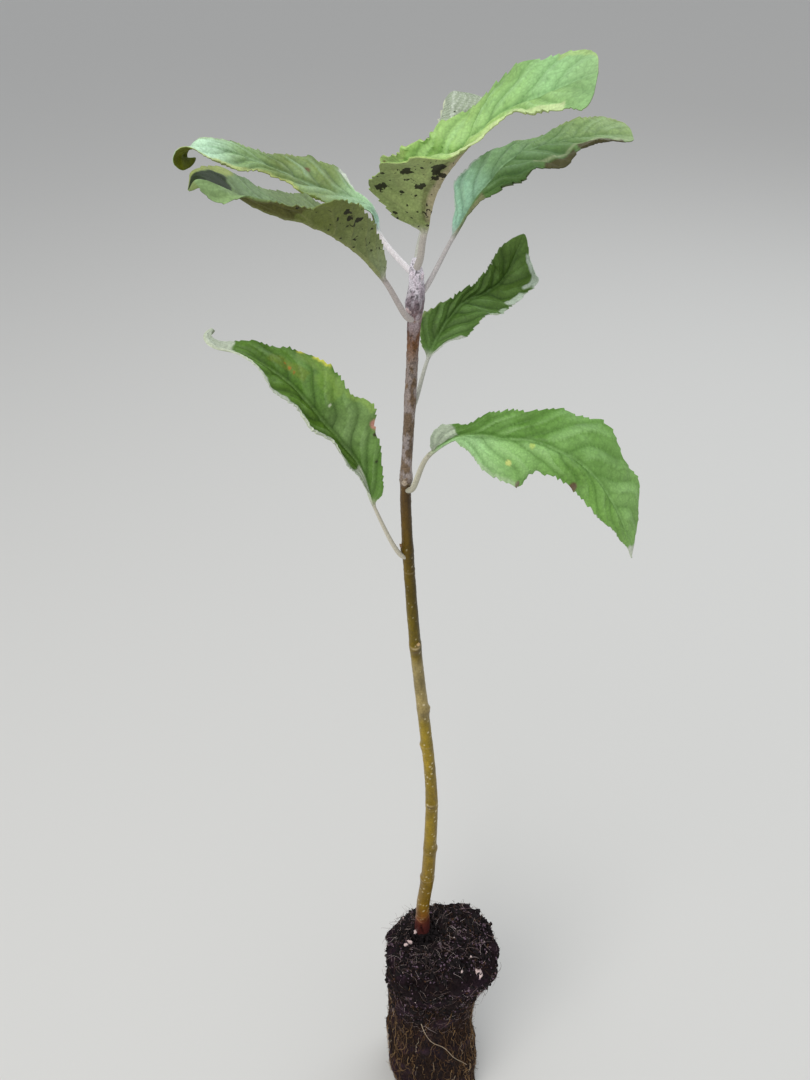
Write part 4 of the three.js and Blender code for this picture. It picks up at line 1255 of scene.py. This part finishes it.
def make_leaf(node, leaf, look, seed):
    points = [stem_axis(leaf["node"]), leaf["petiole"], *leaf["midrib"]]
    course = Course(points)
    base = course.share_near(leaf["midrib"][0])
    shares = np.concatenate([np.linspace(0, base, PETIOLE_SECTIONS, endpoint=False),
                             np.linspace(base, 1, BLADE_SECTIONS)])
    t = np.clip((shares - base) / (1 - base), 0, 1)
    centre = course.at(shares)
    ahead = course.ahead(shares)
    face = np.atleast_2d(along(leaf["face"], t)) + np.zeros((len(t), 3))
    face = face - ahead * np.sum(face * ahead, 1, keepdims=True)
    face /= np.linalg.norm(face, axis=1, keepdims=True)
    right = np.cross(ahead, face)
    up = np.minimum(1, shares / base)
    radius = leaf["radius"][0] * (1 - up) + leaf["radius"][1] * up
    length = course.length * (1 - base)
    halves = [half_blade(leaf, look, name, side, t, radius, length, seed + k)
              for k, (name, side) in enumerate((("left", -1), ("right", 1)))]
    (left_top, left_under, left_tone, left_below), (top, under, tone, below) = halves
    section = np.concatenate([left_top[:, ::-1], top[:, 1:], under[:, ::-1], left_under[:, 1:]], 1)
    tint = np.concatenate([left_tone[:, ::-1], tone[:, 1:], below[:, ::-1], left_below[:, 1:]], 1)
    skin = (centre[:, None] + section[..., :1] * right[:, None] + section[..., 1:] * face[:, None])
    columns = skin.shape[1]
    faces = [*ring_faces(len(t), columns)]
    row, column = np.divmod(np.arange(len(faces)), columns)
    kind = np.where(row < PETIOLE_SECTIONS, 2, column > 2 * HALF_COLUMNS)
    faces += end_faces(len(t), columns)
    name = node + "_blade"
    materials = [leaf_under if node == "leaf_top_young" else leaf_top, leaf_under, petiole_skin]
    piece = make_piece(name, skin.reshape(-1, 3) + STEM_FOOT, faces, materials,
                       np.clip(tint.reshape(-1, 4), 0, 2), [*kind, 2, 1], 60)
    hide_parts(node)


# Making the plant
compost = new_material("compost", 0.95, bump=[("noise", 1.3, 1, 0.8), ("noise", 0.4, 0.9, 0.25)],
                       mottle=(0.9, 0.6), specular=0.1)
crumb, crumb_violet, crumb_brown = (
    new_material(name, 0.9, colour, [("noise", 0.5, 0.9, 0.25)], mottle=(1, 0.5), specular=0.25)
    for name, colour in (("compost_crumb", (22, 16, 17)), ("compost_crumb_violet", (104, 84, 98)),
                         ("compost_crumb_brown", (74, 50, 34))))
flake = new_material("pale_flake", 0.8, (214, 190, 186), [("noise", 0.6, 0.5, 0.15)],
                     mottle=(1.5, 0.1))
root_dark, root_brown, root_tan, root_pale, hair_grey, hair_pale = (
    new_material(name, 0.85, colour, mottle=(2, 0.25), specular=0.15)
    for name, colour in (("root_dark", (70, 52, 40)), ("root_brown", (132, 100, 66)),
                         ("root_tan", (188, 152, 106)), ("root_pale", (206, 186, 158)),
                         ("hair_grey", (128, 110, 106)), ("hair_pale", (206, 190, 184))))
bark = new_material("bark", 0.38, bump=[("noise", 0.8, 0.4, 0.1)], mottle=(0.7, 0.22),
                    specular=0.22)
young_bark = new_material("young_bark", 0.8, bump=[("noise", 0.35, 0.7, 0.15)],
                          mottle=(0.4, 0.42), specular=0.2, sheen=0.15)
leaf_top = new_material("leaf_top", 0.5, bump=[("cells", 1.3, 0.35, 0.1),
                                               ("noise", 0.45, 0.4, 0.07)],
                        mottle=(0.6, 0.12), specular=0.24, net=(1.5, 0.11))
petiole_skin = new_material("petiole_skin", 0.75, bump=[("noise", 0.35, 0.6, 0.08)],
                            mottle=(0.5, 0.14), specular=0.2, sheen=0.1)
leaf_under = new_material("leaf_under", 0.8, bump=[("cells", 1.1, 0.5, 0.14),
                                                   ("noise", 0.3, 0.5, 0.08)],
                          mottle=(0.5, 0.14), specular=0.15, sheen=0.06, net=(1.2, 0.12),
                          speck=(1.5, SPECK_COLOUR))

# Name, count, size, material, place, seed and whether each is a coarse lump
CRUMBS = [
    ("compost_crumbs", 850, (1.2, 3.2), crumb, on_cap, 101, False),
    ("fine_crumbs", 1800, (0.5, 1.7), crumb, on_cap, 105, True),
    ("fine_crumbs_violet", 1500, (0.4, 1.5), crumb_violet, on_cap, 106, True),
    ("fine_crumbs_brown", 1500, (0.4, 1.5), crumb_brown, mostly_on_side, 102, True),
    ("crumbs_round_the_stem", 420, (1, 2.4), crumb, round_the_foot, 103, False),
    ("pale_bits", 70, (0.4, 1.1), flake, on_cap, 104, True),
]
# Name, material, count, then lowest and highest start, length and how proud, and radius
ROOTS = [
    ("roots_dark", root_dark, 300, (20, 158, (20, 80), (0, 0.5)), (0.08, 0.16)),
    ("roots_brown", root_brown, 260, (8, 146, (14, 60), (0.1, 0.9)), (0.07, 0.14)),
    ("roots_tan", root_tan, 170, (8, 142, (8, 42), (0.3, 1.2)), (0.07, 0.13)),
    ("roots_pale", root_pale, 34, (15, 138, (6, 30), (0.5, 1.5)), (0.06, 0.13)),
]
# Name, material, count, how they grow, and radius
HAIRS = [
    ("hairs_dark", root_dark, 380, top_fibre, (0.06, 0.13)),
    ("hairs_grey", hair_grey, 460, top_fibre, (0.05, 0.11)),
    ("hairs_pale", hair_pale, 180, top_fibre, (0.04, 0.08)),
    ("stray_hairs", root_dark, 600, stray_hair, (0.06, 0.14)),
    ("stray_hairs_brown", root_brown, 420, stray_hair, (0.05, 0.12)),
]
# The longest pale root on the front: angles in degrees from the right, and heights
LONG_ROOT = [(253, 132), (258, 120), (268, 108), (284, 97), (293, 86), (303, 74), (309, 65)]
LONG_ROOT_RADIUS = 0.16

make_ball()
for row in CRUMBS:
    scatter_lumps(*row)
for index, (place, width) in enumerate(PALE_FLAKES):
    scatter_lumps(f"pale_flake_{index}", 1, (width, width), flake, lambda rng: np.array(place),
                  120 + index)
rng = np.random.default_rng(7)
for name, material, count, (low, high, reach, proud), thick in ROOTS:
    join_threads(name, [thread(side_root(rng, low, high, reach, proud), rng.uniform(*thick))
                        for _ in range(count)], material)
for name, material, count, grow, thick in HAIRS:
    join_threads(name, [thread(grow(rng), rng.uniform(*thick)) for _ in range(count)], material)
join_threads("long_root", [thread(root_through(LONG_ROOT), LONG_ROOT_RADIUS, 6, 0.7)], root_pale)

make_stem()
for bud in BUDS:
    make_bud(*bud)
for index, (node, leaf) in enumerate(LEAVES.items()):
    make_leaf(node, leaf, LEAF_LOOKS[node], 10 * index + 1)

# Floor, light and camera
floor_mesh = bpy.data.meshes.new("floor")
corners = [(x * FLOOR_REACH, y * FLOOR_REACH, 0) for x, y in ((-1, -1), (1, -1), (1, 1), (-1, 1))]
floor_mesh.from_pydata(corners, [], [(0, 1, 2, 3)])
floor = add_object("floor", floor_mesh)
floor_mesh.materials.append(new_material("floor", 0.9, FLOOR_COLOUR))

world = bpy.data.worlds.new("sky")
world.use_nodes = True
background = world.node_tree.nodes["Background"]
background.inputs["Color"].default_value = SKY_COLOUR
background.inputs["Strength"].default_value = SKY_STRENGTH
bpy.context.scene.world = world


def add_light(name, place, target, size, watts, colour):
    light = bpy.data.lights.new(name, "AREA")
    light.size = size
    light.energy = watts
    light.color = colour
    lamp = add_object(name, light)
    way = np.array(target, float) - place
    way /= np.linalg.norm(way)
    side = np.cross(way, (0, 0, 1))
    side /= np.linalg.norm(side)
    turn = np.stack([side, np.cross(side, way), -way], 1)
    lamp.matrix_world = Matrix.Translation(place) @ Matrix(turn.tolist()).to_4x4()


for light in LIGHTS:
    add_light(*light)

camera_data = bpy.data.cameras.new("camera")
camera_data.sensor_width = SENSOR_MM
camera_data.lens = FOCAL_PIXELS / PICTURE_HEIGHT * SENSOR_MM
camera_data.clip_start = NEAREST_SEEN
camera = add_object("camera", camera_data)
forward = np.array([0, np.cos(CAMERA_PITCH), -np.sin(CAMERA_PITCH)])
level_right = np.array([1.0, 0, 0])
level_down = np.array([0, -np.sin(CAMERA_PITCH), -np.cos(CAMERA_PITCH)])
camera_right = np.cos(CAMERA_ROLL) * level_right + np.sin(CAMERA_ROLL) * level_down
camera_down = -np.sin(CAMERA_ROLL) * level_right + np.cos(CAMERA_ROLL) * level_down
axes = np.stack([camera_right, -camera_down, -forward], 1)
camera.matrix_world = Matrix.Translation(CAMERA_AT) @ Matrix(axes.tolist()).to_4x4()
bpy.context.scene.camera = camera
bpy.context.scene.view_settings.view_transform = "Standard"

bpy.context.view_layer.update()
